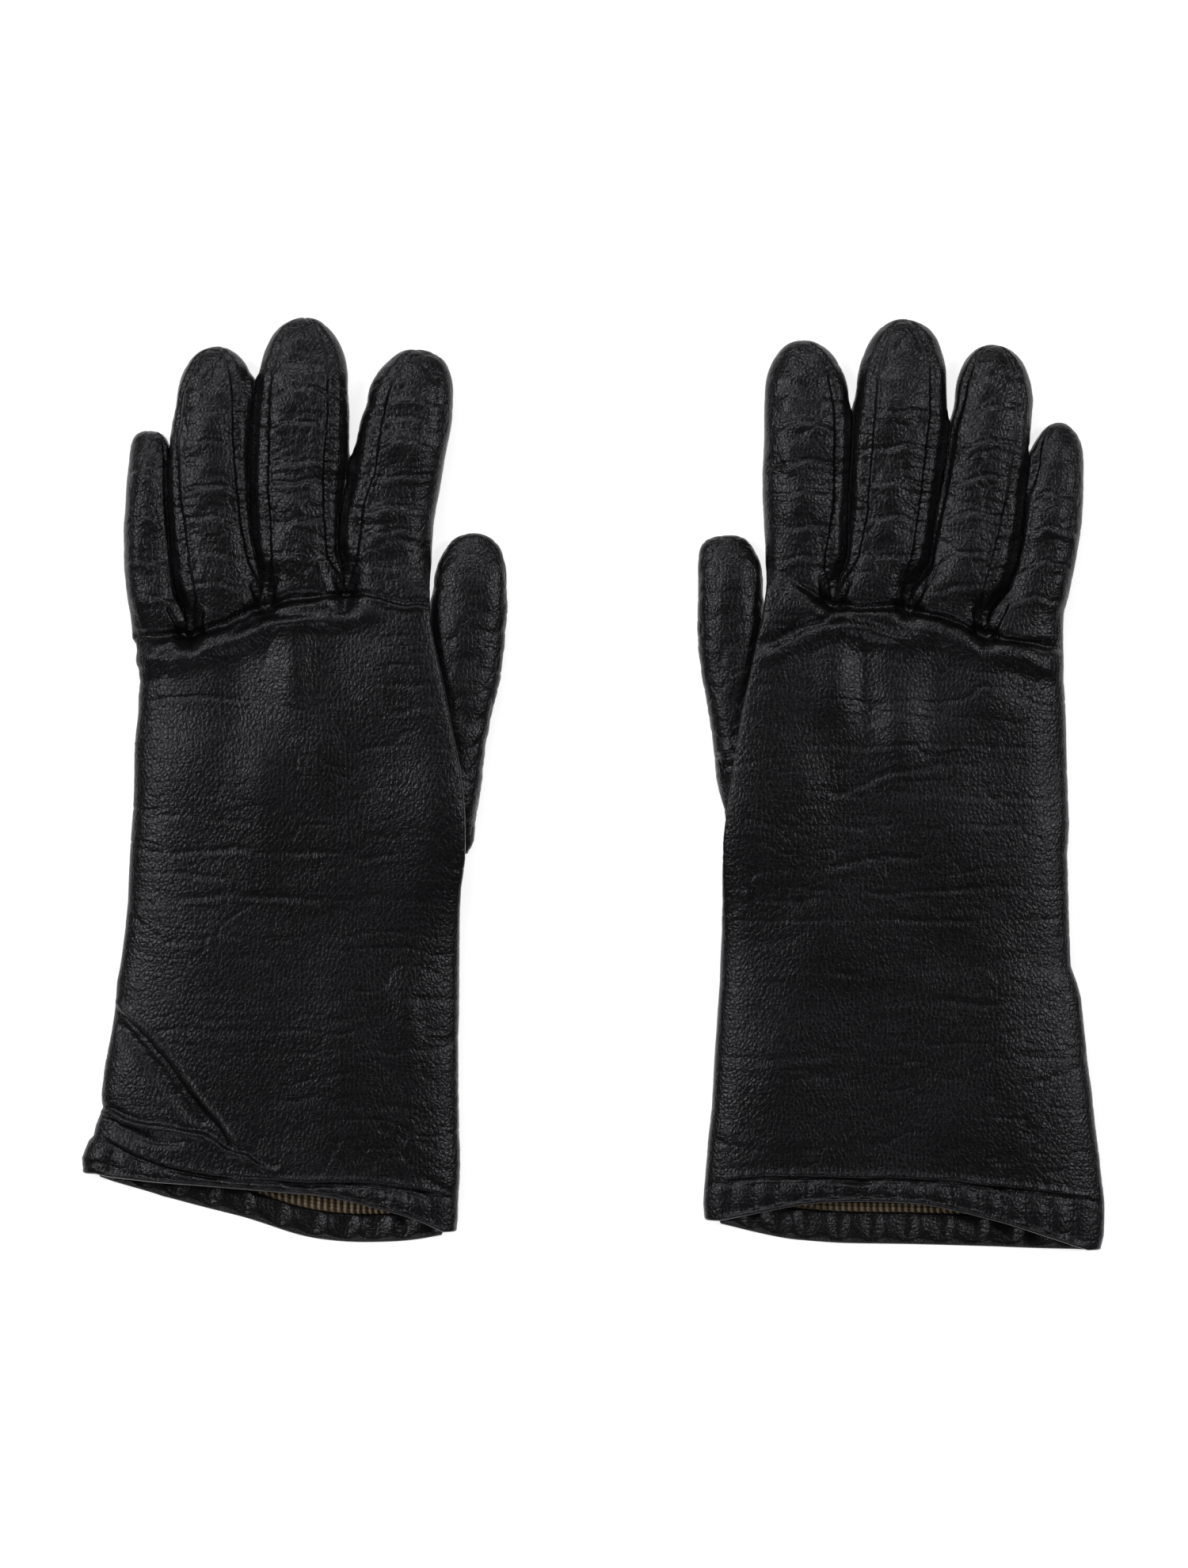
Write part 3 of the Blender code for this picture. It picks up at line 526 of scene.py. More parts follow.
    # the hem turns in at the mouth and runs back as the facing
    mouth = ring[0]
    axis_x = (mouth[:, 0].max() + mouth[:, 0].min()) / 2
    inward = np.zeros_like(mouth)
    ahead = np.roll(mouth, -1, 0) - np.roll(mouth, 1, 0)
    inward[:, 0], inward[:, 2] = ahead[:, 2], -ahead[:, 0]
    inward /= np.maximum(1e-6, np.linalg.norm(inward, axis=1))[:, None]
    if inward[n_cols // 2, 2] > 0:
        inward = -inward
    thick = 1.5
    arc = np.concatenate([[0], np.cumsum(np.hypot(np.diff(mouth[:, 0]), np.diff(mouth[:, 2])))])
    rows = [grid[0]]
    for angle in (45, 90, 135, 180):
        a = math.radians(angle)
        p = mouth + inward * (thick / 2 * (1 - math.cos(a)))
        p[:, 1] -= thick / 2 * math.sin(a)
        rows.append(skin.add(p))
    steps = 14
    last = None
    for k in range(1, steps + 1):
        depth = glove["facing"] * k / steps
        y = mouth[:, 1] + depth
        at = np.minimum(n_rows - 1, np.searchsorted(ring[:, n_cols // 2, 1] - ring[0, n_cols // 2, 1], depth))
        base = np.array([[np.interp(y[j], ring[:60, j, 1], ring[:60, j, 0]), y[j], np.interp(y[j], ring[:60, j, 1], ring[:60, j, 2])]
                         for j in range(total)])
        # gathers: the facing is eased on, so it stands in rounded lumps
        wave = np.sin(2 * math.pi * arc / 8.8 + 1.1 * np.sin(arc / 17.0)) * 0.6 + 0.16 * np.sin(2 * math.pi * arc / 4.9 + 1.0)
        lump = (0.25 + wave) * math.sin(math.pi * min(1.0, k / steps)) ** 0.7
        p = base + inward * (thick + np.maximum(0.0, lump + 0.25) * 0.75)[:, None]
        last = p
        rows.append(skin.add(p))
    rows.append(skin.add(last - inward * 0.9 + np.array([0, 0.35, 0])))
    skin.quads("cuff_facing", np.stack(rows)[::-1], closed=True)
    skin.mouth = (ring, inward, arc, axis_x)

    # webs: the line down each crotch, shared by the two fingers beside it
    webs = []
    for i in range(1, 4):
        col = i * ND
        top_point = ring[-1, col]
        low_point = ring[-1, i_palm[n_cols - 1 - col]]
        f = (np.arange(1, NS) / NS)[:, None]
        line = top_point + (low_point - top_point) * f
        line[:, 1] += 1.2 * np.sin(math.pi * f[:, 0])
        webs.append(skin.add(line))

    # fingers
    skin.fingers = {}
    for i, spec in enumerate(fingers):
        a, b = i * ND, (i + 1) * ND
        ring_back = grid[-1, a:b + 1]
        ring_palm = grid[-1, i_palm[n_cols - 1 - b:n_cols - a]]
        ring_high = webs[i] if i < 3 else grid[-1, i_high]
        ring_low = webs[i - 1][::-1] if i > 0 else grid[-1, half_low - (NS - 1) // 2:half_low - (NS - 1) // 2 + NS - 1]
        first = np.concatenate([ring_back, ring_high, ring_palm, ring_low])
        base = np.concatenate(skin.co)[first]
        tip_u, tip_v = spec["tip"]
        tx, ty = float(gx(tip_u)), float(gy(tip_v))
        y1 = float(gy(spec["rows"][-1][0]))
        length = ty - float(base[:, 1].mean())
        n = int(round(length * Q / 0.48))
        n_cap = int(30 * Q)
        rings = [first]
        y0 = base[:, 1]
        k1 = n - n_cap
        clear = 0.12
        for j in range(1, n + 1):
            if j <= k1:
                t = j / k1
                y = y0 + (y1 - y0) * t
                small = 1.0
                ym = float(y.mean())
            else:
                angle = (j - k1) / (n_cap + 0.35) * math.pi / 2
                p = spec["p"]
                small = math.cos(angle) ** (2 / p)
                y = np.full(len(first), y1 + (ty - y1) * math.sin(angle) ** (2 / p))
                ym = float(y.mean())
            lx = float(table(spec["rows"], min(ym, y1), 1)) + clear
            rx = float(table(spec["rows"], min(ym, y1), 2)) - clear
            if i > 0:
                gap = lx - float(table(fingers[i - 1]["rows"], ym, 2))
                lx -= 0.45 * float(smooth(1.0, 0.3, gap))
            if i < 3:
                gap = float(table(fingers[i + 1]["rows"], ym, 1)) - rx
                rx += 0.45 * float(smooth(1.0, 0.3, gap))
            centre, half = (lx + rx) / 2, (rx - lx) / 2
            share = float(smooth(y1, ty, ym))
            centre += (tx - centre) * share
            top = spec["top"] * (1 - 0.16 * float(smooth(y1 - 16, ty, ym)))
            mid = top * (0.5 - 0.05 * share)
            # seams, as shares of the half width
            def seam(rows_, sign):
                if rows_ is None:
                    return EDGE_C
                x = float(table(rows_, ym))
                return float(np.clip(sign * (x - centre) / half, 0.35, 0.93))
            c_high, c_low = seam(spec["high_seam"], 1), seam(spec["low_seam"], -1)
            f = np.arange(ND + 1) / ND
            power = 2.35
            c = -c_low + (c_high + c_low) * f
            bx_, bz_ = c, crown(c, power)
            th = side_angles(np.array([c_high]), np.array([0.82]), power, NS)[0]
            hx, hz = section(th, power)
            tl = side_angles(np.array([c_low]), np.array([0.82]), power, NS)[0]
            lx_, lz_ = section(tl, power)
            cp = 0.82 - 1.64 * f
            px_, pz_ = cp, -crown(cp, power)
            ex = np.concatenate([bx_, hx, px_, -lx_[::-1]])
            ez = np.concatenate([bz_, hz, pz_, lz_[::-1]])
            rise = np.where(ez > 0, top - mid, mid)
            x = centre + half * small * ex
            z = mid + rise * small * ez
            target = np.stack([x, y, z], -1)
            start = base.copy()
            start[:, 1] = y
            w = float(smooth(-0.5, 12.0, ym - float(y0.mean())))
            rings.append(skin.add(start * (1 - w) + target * w))
        g = np.stack(rings)
        tip = skin.add([[tx, ty + 0.02, (spec["top"] * 0.84) * 0.45]])[0]
        cols = np.arange(g.shape[1])
        c1, c2, c3 = ND, ND + NS, 2 * ND + NS
        c4 = g.shape[1]
        wrap = np.concatenate([cols, [0]])
        prefix = spec["name"]
        skin.quads(f"{prefix}_back", g[:, 0:c1 + 1])
        skin.quads(f"{prefix}_side_high", g[:, c1:c2 + 1])
        skin.quads(f"{prefix}_palm", g[:, c2:c3 + 1])
        skin.quads(f"{prefix}_side_low", g[:, wrap[c3:c4 + 1]])
        skin.fan(f"{prefix}_back", g[-1], tip)
        skin.fingers[prefix] = (g, tip, spec)
        # seam grooves
        n_g = len(g)
        for col, there in ((0, spec["low_seam"]), (c1, spec["high_seam"]), (c2, spec["high_seam"]), (c3, spec["low_seam"])):
            if there is None:
                continue
            for j in range(2, n_g - 5):
                fade = min(1.0, (j - 1) / 4.0) * min(1.0, (n_g - 5 - j) / 8.0)
                run = j * 0.48 / Q
                stitch = 1 + 0.35 * math.cos(2 * math.pi * run / 1.7)
                pucker = math.sin(2 * math.pi * run / 3.3 + 1.4 * math.sin(run / 5.0 + col))
                for off in range(-8, 9):
                    depth = {0: 0.55 * stitch, 1: 0.26, 2: -0.02, 3: -0.13, 4: -0.07}.get(abs(off), 0.0)
                    depth -= 0.11 * pucker * math.exp(-abs(off) / 3.5) * min(1.0, abs(off) / 2)
                    idx = g[j, (col + off) % c4]
                    skin.groove[idx] = skin.groove.get(idx, 0.0) - depth * fade
    return skin


def mesh_normals(co, faces):
    quads = faces[faces[:, 3] >= 0]
    tris = faces[faces[:, 3] < 0][:, :3]
    n = np.zeros_like(co)
    for f, idx in ((quads, 4), (tris, 3)):
        if not len(f):
            continue
        p = co[f]
        if idx == 4:
            face = np.cross(p[:, 2] - p[:, 0], p[:, 3] - p[:, 1])
        else:
            face = np.cross(p[:, 1] - p[:, 0], p[:, 2] - p[:, 0])
        for k in range(idx):
            np.add.at(n, f[:, k], face)
    return n / np.maximum(1e-12, np.linalg.norm(n, axis=1))[:, None]


def crease_depth(glove, x, y):
    total = np.zeros(len(x))
    flat = np.stack([x / 9.0, y / 7.0, np.zeros(len(x))], 1)
    y = y + 0.7 * vnoise(flat, glove["seed"] + 31) + 0.3 * vnoise(flat * 3.1, glove["seed"] + 32)
    come_and_go = 0.25 + 0.75 * smooth(-0.15, 0.35, vnoise(flat * 0.9, glove["seed"] + 40))
    for points, depth, width, roll, roll_side in CREASES[glove["name"]]:
        if 0 < depth < 0.6:
            depth, roll = depth * 0.5 * come_and_go, roll * 0.3 * come_and_go
        d, s, where = near_line(x, y, points)
        near = d < width * 4 + 3
        fade = np.minimum(1, np.minimum(where + 0.06, 1.06 - where) / 0.14)
        total -= np.where(near, depth * fade * np.exp(-(d / width) ** 2 * 1.2), 0)
        if np.any(roll):
            off = width * 1.5
            total += np.where(near, roll * fade * np.exp(-((d * s * roll_side - off) / (width * 1.3)) ** 2), 0)
    return np.maximum(total, -1.8)


def fold_depth(glove, skin, x, y):
    total = np.zeros(len(x))
    for name, row, lift, depth in FOLDS[glove["name"]]:
        g, tip, spec = skin.fingers[name]
        v = float(gy(row))
        lx, rx = float(table(spec["rows"], v, 1)), float(table(spec["rows"], v, 2))
        c = (x - (lx + rx) / 2) / ((rx - lx) / 2)
        wobble = 1.0 * np.sin(c * 4.0 + row) + 0.5 * np.sin(c * 9.0 + row * 0.7)
        depth = depth * 0.7
        d = y - (v - lift * K * (c * c) * 1.6 + wobble * 0.5)
        inside = smooth(1.05, 0.6, np.abs(c))
        total -= depth * inside * np.exp(-(d / 0.55) ** 2)
        total += depth * 0.55 * inside * np.exp(-((d + 1.5) / 1.1) ** 2)
        total -= depth * 0.35 * inside * np.exp(-((d - 1.9) / 1.3) ** 2)
    return total


def leather_relief(glove, skin, co, n):
    """How far the leather stands in or out, in mm."""
    x, y, z = co.T
    seed = glove["seed"]
    up = smooth(0.0, 0.55, n[:, 2])
    finger = smooth(42, 60, y)
    hand = 1 - finger
    tip_calm = 1.0
    out = np.zeros(len(co))
    q = np.stack([x, y, z], 1)
    warp = np.stack([fbm(q / 14.0, 2, seed + 60), fbm(q / 14.0, 2, seed + 70), np.zeros(len(q))], 1)
    # soft undulation of leather that has been worn
    out += 0.60 * hand * fbm(q / np.array([26.0, 30.0, 60.0]), 2, seed + 1)
    out += 0.50 * finger * fbm(q / np.array([8.0, 9.0, 14.0]), 2, seed + 2)
    for u, v, ru, rv, high in MOUNDS[glove["name"]]:
        out += up * high * np.exp(-((x - gx(u)) / (ru * K)) ** 2 - ((y - gy(v)) / (rv * K)) ** 2)
    # rolls across the glove
    calm = 0.45 + 0.55 * smooth(-0.2, 0.3, fbm(q / 30.0, 2, seed + 15))
    out += 0.07 * hand * calm * vnoise(q / np.array([30.0, 5.5, 40.0]) + warp * 0.5, seed + 3)
    out += 0.035 * hand * calm * vnoise(q / np.array([17.0, 2.4, 30.0]) + warp * 0.7, seed + 4)
    # thin creases across
    patch = smooth(-0.25, 0.35, fbm(q / 26.0, 2, seed + 5))
    out -= 0.20 * hand * patch * hairlines(q / np.array([26.0, 5.0, 30.0]) + warp * 0.6, 0.10, seed + 6)
    patch = smooth(-0.15, 0.4, fbm(q / 19.0, 2, seed + 7))
    out -= 0.145 * (0.25 + 0.75 * hand) * patch * hairlines(q / np.array([9.0, 2.3, 12.0]) + warp, 0.2, seed + 8)
    # crumple on the fingers
    worn = smooth(-0.5, 0.4, fbm(q / 12.0, 2, seed + 10))
    f1, f2 = cells(q / np.array([7.4, 6.0, 9.0]) + warp * 0.8, seed + 9)
    out -= 0.19 * finger * np.clip(1 - (f2 - f1) / 0.12, 0, 1) * (0.3 + 0.7 * worn)
    out += 0.17 * finger * (0.5 - f1)
    f1, f2 = cells(q / np.array([3.0, 2.3, 4.0]) + warp * 0.5, seed + 12)
    out -= 0.075 * (0.12 + 0.88 * finger) * np.clip(1 - (f2 - f1) / 0.2, 0, 1) * smooth(-0.2, 0.5, fbm(q / 9.0, 2, seed + 13))
    out += 0.03 * fbm(q / 1.5, 2, seed + 14)
    out *= 1 - 0.55 * finger * n[:, 0] ** 2
    out += up * (crease_depth(glove, x, y) * (1 - 0.85 * smooth(52, 56, y)) + fold_depth(glove, skin, x, y))
    return out


def press_apart(glove, skin, co, n):
    """Neighbouring fingers press flat against each other along a slanting plane and never cross."""
    slope = -0.2 if glove["name"] == "left" else 0.2
    fingers = glove["fingers"]
    for i in range(3):
        cx, cy = float(gx(glove["crotches"][i][0])), float(gy(glove["crotches"][i][1]))
        ga, gb = (skin.fingers[fingers[k]["name"]][0] for k in (i, i + 1))
        wall_a = co[ga[:, ND:ND + NS + 1]]
        wall_b = co[np.concatenate([gb[:, 2 * ND + NS:], gb[:, :1]], 1)]
        ya, xa = wall_a[:, :, 1].mean(1), wall_a[:, :, 0].max(1)
        yb, xb = wall_b[:, :, 1].mean(1), wall_b[:, :, 0].min(1)
        top = min(ya.max(), yb.max()) - 14.0
        for k, sign in ((i, -1), (i + 1, 1)):
            ids = skin.fingers[fingers[k]["name"]][0][1:].ravel()
            x, y, z = co[ids].T
            ym = np.minimum(y, top)
            right_of_a, left_of_b = np.interp(ym, ya, xa), np.interp(ym, yb, xb)
            middle = (right_of_a + left_of_b) / 2
            plane = middle + slope * (z - 5.5) * smooth(cy, cy + 3, y) - sign * 9.0 * smooth(top + 7, top + 14, y)
            margin = 0.07 * smooth(cy - 1, cy + 1.0, y)
            gap = left_of_b - right_of_a
            touch = smooth(1.8, 0.9, gap) * smooth(cy, cy + 1.5, y)
            touch = touch * smooth(top + 7, top + 4, y)
            touch = touch * smooth(2.1, 1.1, np.abs(plane - x)) * smooth(4.6, 3.0, np.abs(z - 5.5)) * smooth(0.25, 0.75, -sign * n[ids, 0])
            x = x + (plane + sign * margin - x) * touch
            if sign < 0:
                co[ids, 0] = np.where(y > cy, np.minimum(x, plane - margin), x)
            else:
                co[ids, 0] = np.where(y > cy, np.maximum(x, plane + margin), x)
    return co


def ground(co):
    """Nothing reaches below the surface that the gloves lie on: what would is pressed flat."""
    z = co[:, 2]
    co[:, 2] = np.where(z < 0.6, 0.06 + 0.54 * np.exp(np.minimum(0, z - 0.6) / 0.54), z)
    return co


def make_piece(name, co, normals, faces, rest, material, calm=None):
    used = np.unique(faces[faces >= 0])
    back = np.full(len(co), -1)
    back[used] = np.arange(len(used))
    polys = [tuple(back[i] for i in f if i >= 0) for f in faces.tolist()]
    mesh = bpy.data.meshes.new(name)
    mesh.from_pydata((co[used] * 0.001).tolist(), [], polys)
    mesh.update()
    spot = mesh.attributes.new("rest_mm", "FLOAT_VECTOR", "POINT")
    spot.data.foreach_set("vector", rest[used].astype(np.float32).ravel())
    mesh.shade_smooth()
    if normals is not None:
        mesh.normals_split_custom_set_from_vertices(normals[used].tolist())
    mesh.materials.append(material)
    obj = bpy.data.objects.new(name, mesh)
    bpy.context.scene.collection.objects.link(obj)
    return obj


# ------------------------------------------------------------------ materials
class Nodes:
    def __init__(self, name):
        self.material = bpy.data.materials.new(name)
        self.material.use_nodes = True
        self.tree = self.material.node_tree
        self.shader = self.tree.nodes["Principled BSDF"]

    def add(self, kind, **values):
        node = self.tree.nodes.new(kind)
        for key, value in values.items():
            setattr(node, key, value)
        return node

    def link(self, a, b):
        self.tree.links.new(a, b)

    def rest(self, scale):
        """Place on the piece as it was cut, so that the grain never slides. 1 unit = 1/scale mm."""
        a = self.add("ShaderNodeAttribute", attribute_name="rest_mm")
        m = self.add("ShaderNodeVectorMath", operation="MULTIPLY")
        m.inputs[1].default_value = scale
        self.link(a.outputs["Vector"], m.inputs[0])
        return m.outputs[0]

    def noise(self, scale, detail=3.0, rough=0.5):
        n = self.add("ShaderNodeTexNoise")
        n.inputs["Scale"].default_value = 1.0
        n.inputs["Detail"].default_value = detail
        n.inputs["Roughness"].default_value = rough
        self.link(self.rest(scale), n.inputs["Vector"])
        return n.outputs["Fac"]

    def cells(self, scale, feature="DISTANCE_TO_EDGE"):
        n = self.add("ShaderNodeTexVoronoi", feature=feature)
        n.inputs["Scale"].default_value = 1.0
        self.link(self.rest(scale), n.inputs["Vector"])
        return n.outputs["Distance"]

    def math(self, op, a, b=None, c=None):
        n = self.add("ShaderNodeMath", operation=op)
        for i, v in enumerate((a, b, c)):
            if v is None:
                continue
            if isinstance(v, (int, float)):
                n.inputs[i].default_value = v
            else:
                self.link(v, n.inputs[i])
        return n.outputs[0]

    def span(self, value, a, b, low, high):
        n = self.add("ShaderNodeMapRange")
        for i, v in zip((1, 2, 3, 4), (a, b, low, high)):
            n.inputs[i].default_value = v
        self.link(value, n.inputs[0])
        return n.outputs[0]

    def mix(self, fac, a, b):
        n = self.add("ShaderNodeMix", data_type="RGBA")
        self.link(fac, n.inputs[0])
        for i, v in ((6, a), (7, b)):
            if isinstance(v, tuple):
                n.inputs[i].default_value = v
            else:
                self.link(v, n.inputs[i])
        return n.outputs[2]

    def bump(self, height, strength, distance, before=None):
        n = self.add("ShaderNodeBump")
        n.inputs["Strength"].default_value = strength
        n.inputs["Distance"].default_value = distance
        self.link(height, n.inputs["Height"])
        if before is not None:
            self.link(before, n.inputs["Normal"])
        return n.outputs[0]


def leather_material(name, base=(0.0022, 0.0021, 0.0027, 1), worn=(0.0048, 0.0045, 0.0048, 1), grain=1.0, rough=(0.27, 0.38)):
    m = Nodes(name)
    blotch = m.noise((0.05, 0.06, 0.05), 3.0)
    fine = m.noise((0.9, 0.9, 0.9), 3.0)
    colour = m.mix(m.span(blotch, 0.35, 0.7, 0.0, 1.0), base, worn)
    pores = m.cells((0.86, 0.76, 0.86))
    # painted shade: the colour is darkened a little in the sunken grooves between the grain's pebbles
    groove = m.span(pores, 0.0, 0.14, 1.0, 0.0)
    colour = m.mix(m.math("MULTIPLY", groove, 0.15), colour, (0.002, 0.002, 0.0022, 1))
    # hair-fine creases, mostly across, that come and go; they are bumped in below and also darkened in the colour as
    # painted shade
    across = m.math("ABSOLUTE", m.math("SUBTRACT", m.noise((0.085, 0.34, 0.085), 2.0, 0.4), 0.5))
    place = m.span(m.noise((0.04, 0.05, 0.04), 2.0), 0.42, 0.6, 0.0, 1.0)
    crease = m.math("MULTIPLY", m.span(across, 0.0, 0.011, 1.0, 0.0), place)
    net = m.math("ABSOLUTE", m.math("SUBTRACT", m.noise((0.26, 0.55, 0.26), 2.0, 0.5), 0.5))
    place2 = m.span(m.noise((0.06, 0.05, 0.06), 2.0), 0.45, 0.62, 0.0, 1.0)
    crease2 = m.math("MULTIPLY", m.span(net, 0.0, 0.016, 1.0, 0.0), place2)
    lines = m.math("MAXIMUM", crease, m.math("MULTIPLY", crease2, 0.35))
    # painted shade: the colour darkens along the sunken hair-fine creases
    colour = m.mix(m.math("MULTIPLY", lines, 0.4), colour, (0.0015, 0.0015, 0.0016, 1))
    m.link(colour, m.shader.inputs["Base Color"])
    sheen = m.math("ADD", m.math("MULTIPLY", blotch, 0.6), m.math("MULTIPLY", fine, 0.4))
    m.link(m.span(sheen, 0.3, 0.7, rough[1], rough[0]), m.shader.inputs["Roughness"])
    m.shader.inputs["Specular IOR Level"].default_value = 0.5
    m.shader.inputs["Specular Tint"].default_value = (0.95, 0.93, 1.0, 1)
    # grain: pebbles about a millimetre across, smaller ones between, and fine streaks across
    pebble = m.math("POWER", m.span(pores, 0.0, 0.40, 0.0, 1.0), 0.75)
    small = m.math("POWER", m.span(m.cells((2.9, 2.6, 2.9)), 0.0, 0.4, 0.0, 1.0), 0.6)
    n1 = m.bump(pebble, 0.9 * grain, 0.000074)
    n2 = m.bump(small, 0.5 * grain, 0.000012, n1)
    streak = m.noise((0.22, 1.15, 0.22), 4.0, 0.6)
    n3 = m.bump(streak, 0.8, 0.00012, n2)
    n4 = m.bump(m.math("MULTIPLY", lines, -1.0), 0.25, 0.00008, n3)
    m.link(n4, m.shader.inputs["Normal"])
    return m.material


def knit_material(name):
    m = Nodes(name)
    tone = m.noise((0.25, 0.6, 0.25), 3.0)
    fuzz = m.noise((3.5, 5.0, 3.5), 3.0, 0.7)
    split = m.add("ShaderNodeSeparateXYZ")
    m.link(m.rest((2 * math.pi / 1.62, 2 * math.pi / 1.1, 1.0)), split.inputs[0])
    rib = m.math("COSINE", m.math("ADD", split.outputs[0], m.math("MULTIPLY", tone, 1.2)))
    loop = m.math("SINE", m.math("ADD", split.outputs[1], m.math("MULTIPLY", m.math("ABSOLUTE", rib), 1.6)))
    colour = m.mix(m.span(tone, 0.3, 0.7, 0.0, 1.0), (0.60, 0.44, 0.27, 1), (0.80, 0.64, 0.44, 1))
    # painted shade: the colour darkens in the sunken gaps between the ribs and at the sunken loops
    colour = m.mix(m.span(rib, -0.75, 0.35, 0.0, 0.93), colour, (0.035, 0.023, 0.013, 1))
    colour = m.mix(m.span(loop, 0.2, 1.0, 0.0, 0.22), colour, (0.06, 0.04, 0.022, 1))
    colour = m.mix(m.span(fuzz, 0.40, 0.75, 0.0, 0.6), colour, (0.10, 0.065, 0.035, 1))
    m.link(colour, m.shader.inputs["Base Color"])
    m.shader.inputs["Roughness"].default_value = 0.92
    m.shader.inputs["Sheen Weight"].default_value = 0.2
    m.shader.inputs["Sheen Roughness"].default_value = 0.5
    m.shader.inputs["Specular IOR Level"].default_value = 0.2
    n1 = m.bump(m.math("MULTIPLY", loop, -1.0), 0.8, 0.0002)
    m.link(m.bump(fuzz, 0.7, 0.00015, n1), m.shader.inputs["Normal"])
    return m.material


BLACK = leather_material("black_leather")
FACING = leather_material("facing_leather", base=(0.0042, 0.0040, 0.0042, 1), worn=(0.0075, 0.0070, 0.0069, 1), grain=0.8, rough=(0.27, 0.38))
KNIT = knit_material("knit_lining")


# ------------------------------------------------------------------ build the gloves
def subset_faces(faces, order):
    return faces


def bend_finger(obj):
    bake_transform(obj)


def i_palm_of(skin, column):
    """The column right below or above one of the columns of the hand."""
    n_cols = 4 * ND + 1
    total = 2 * n_cols + 2 * (NS - 1)
    column = np.asarray(column)
    first_palm = n_cols + NS - 1
    out = np.where(column < n_cols, first_palm + n_cols - 1 - column, column)
    out = np.where((column >= first_palm) & (column < first_palm + n_cols), first_palm + n_cols - 1 - column, out)
    high = (column >= n_cols) & (column < first_palm)
    out = np.where(high, first_palm, out)
    low = column >= first_palm + n_cols
    return np.atleast_1d(np.where(low, first_palm + n_cols - 1, out))


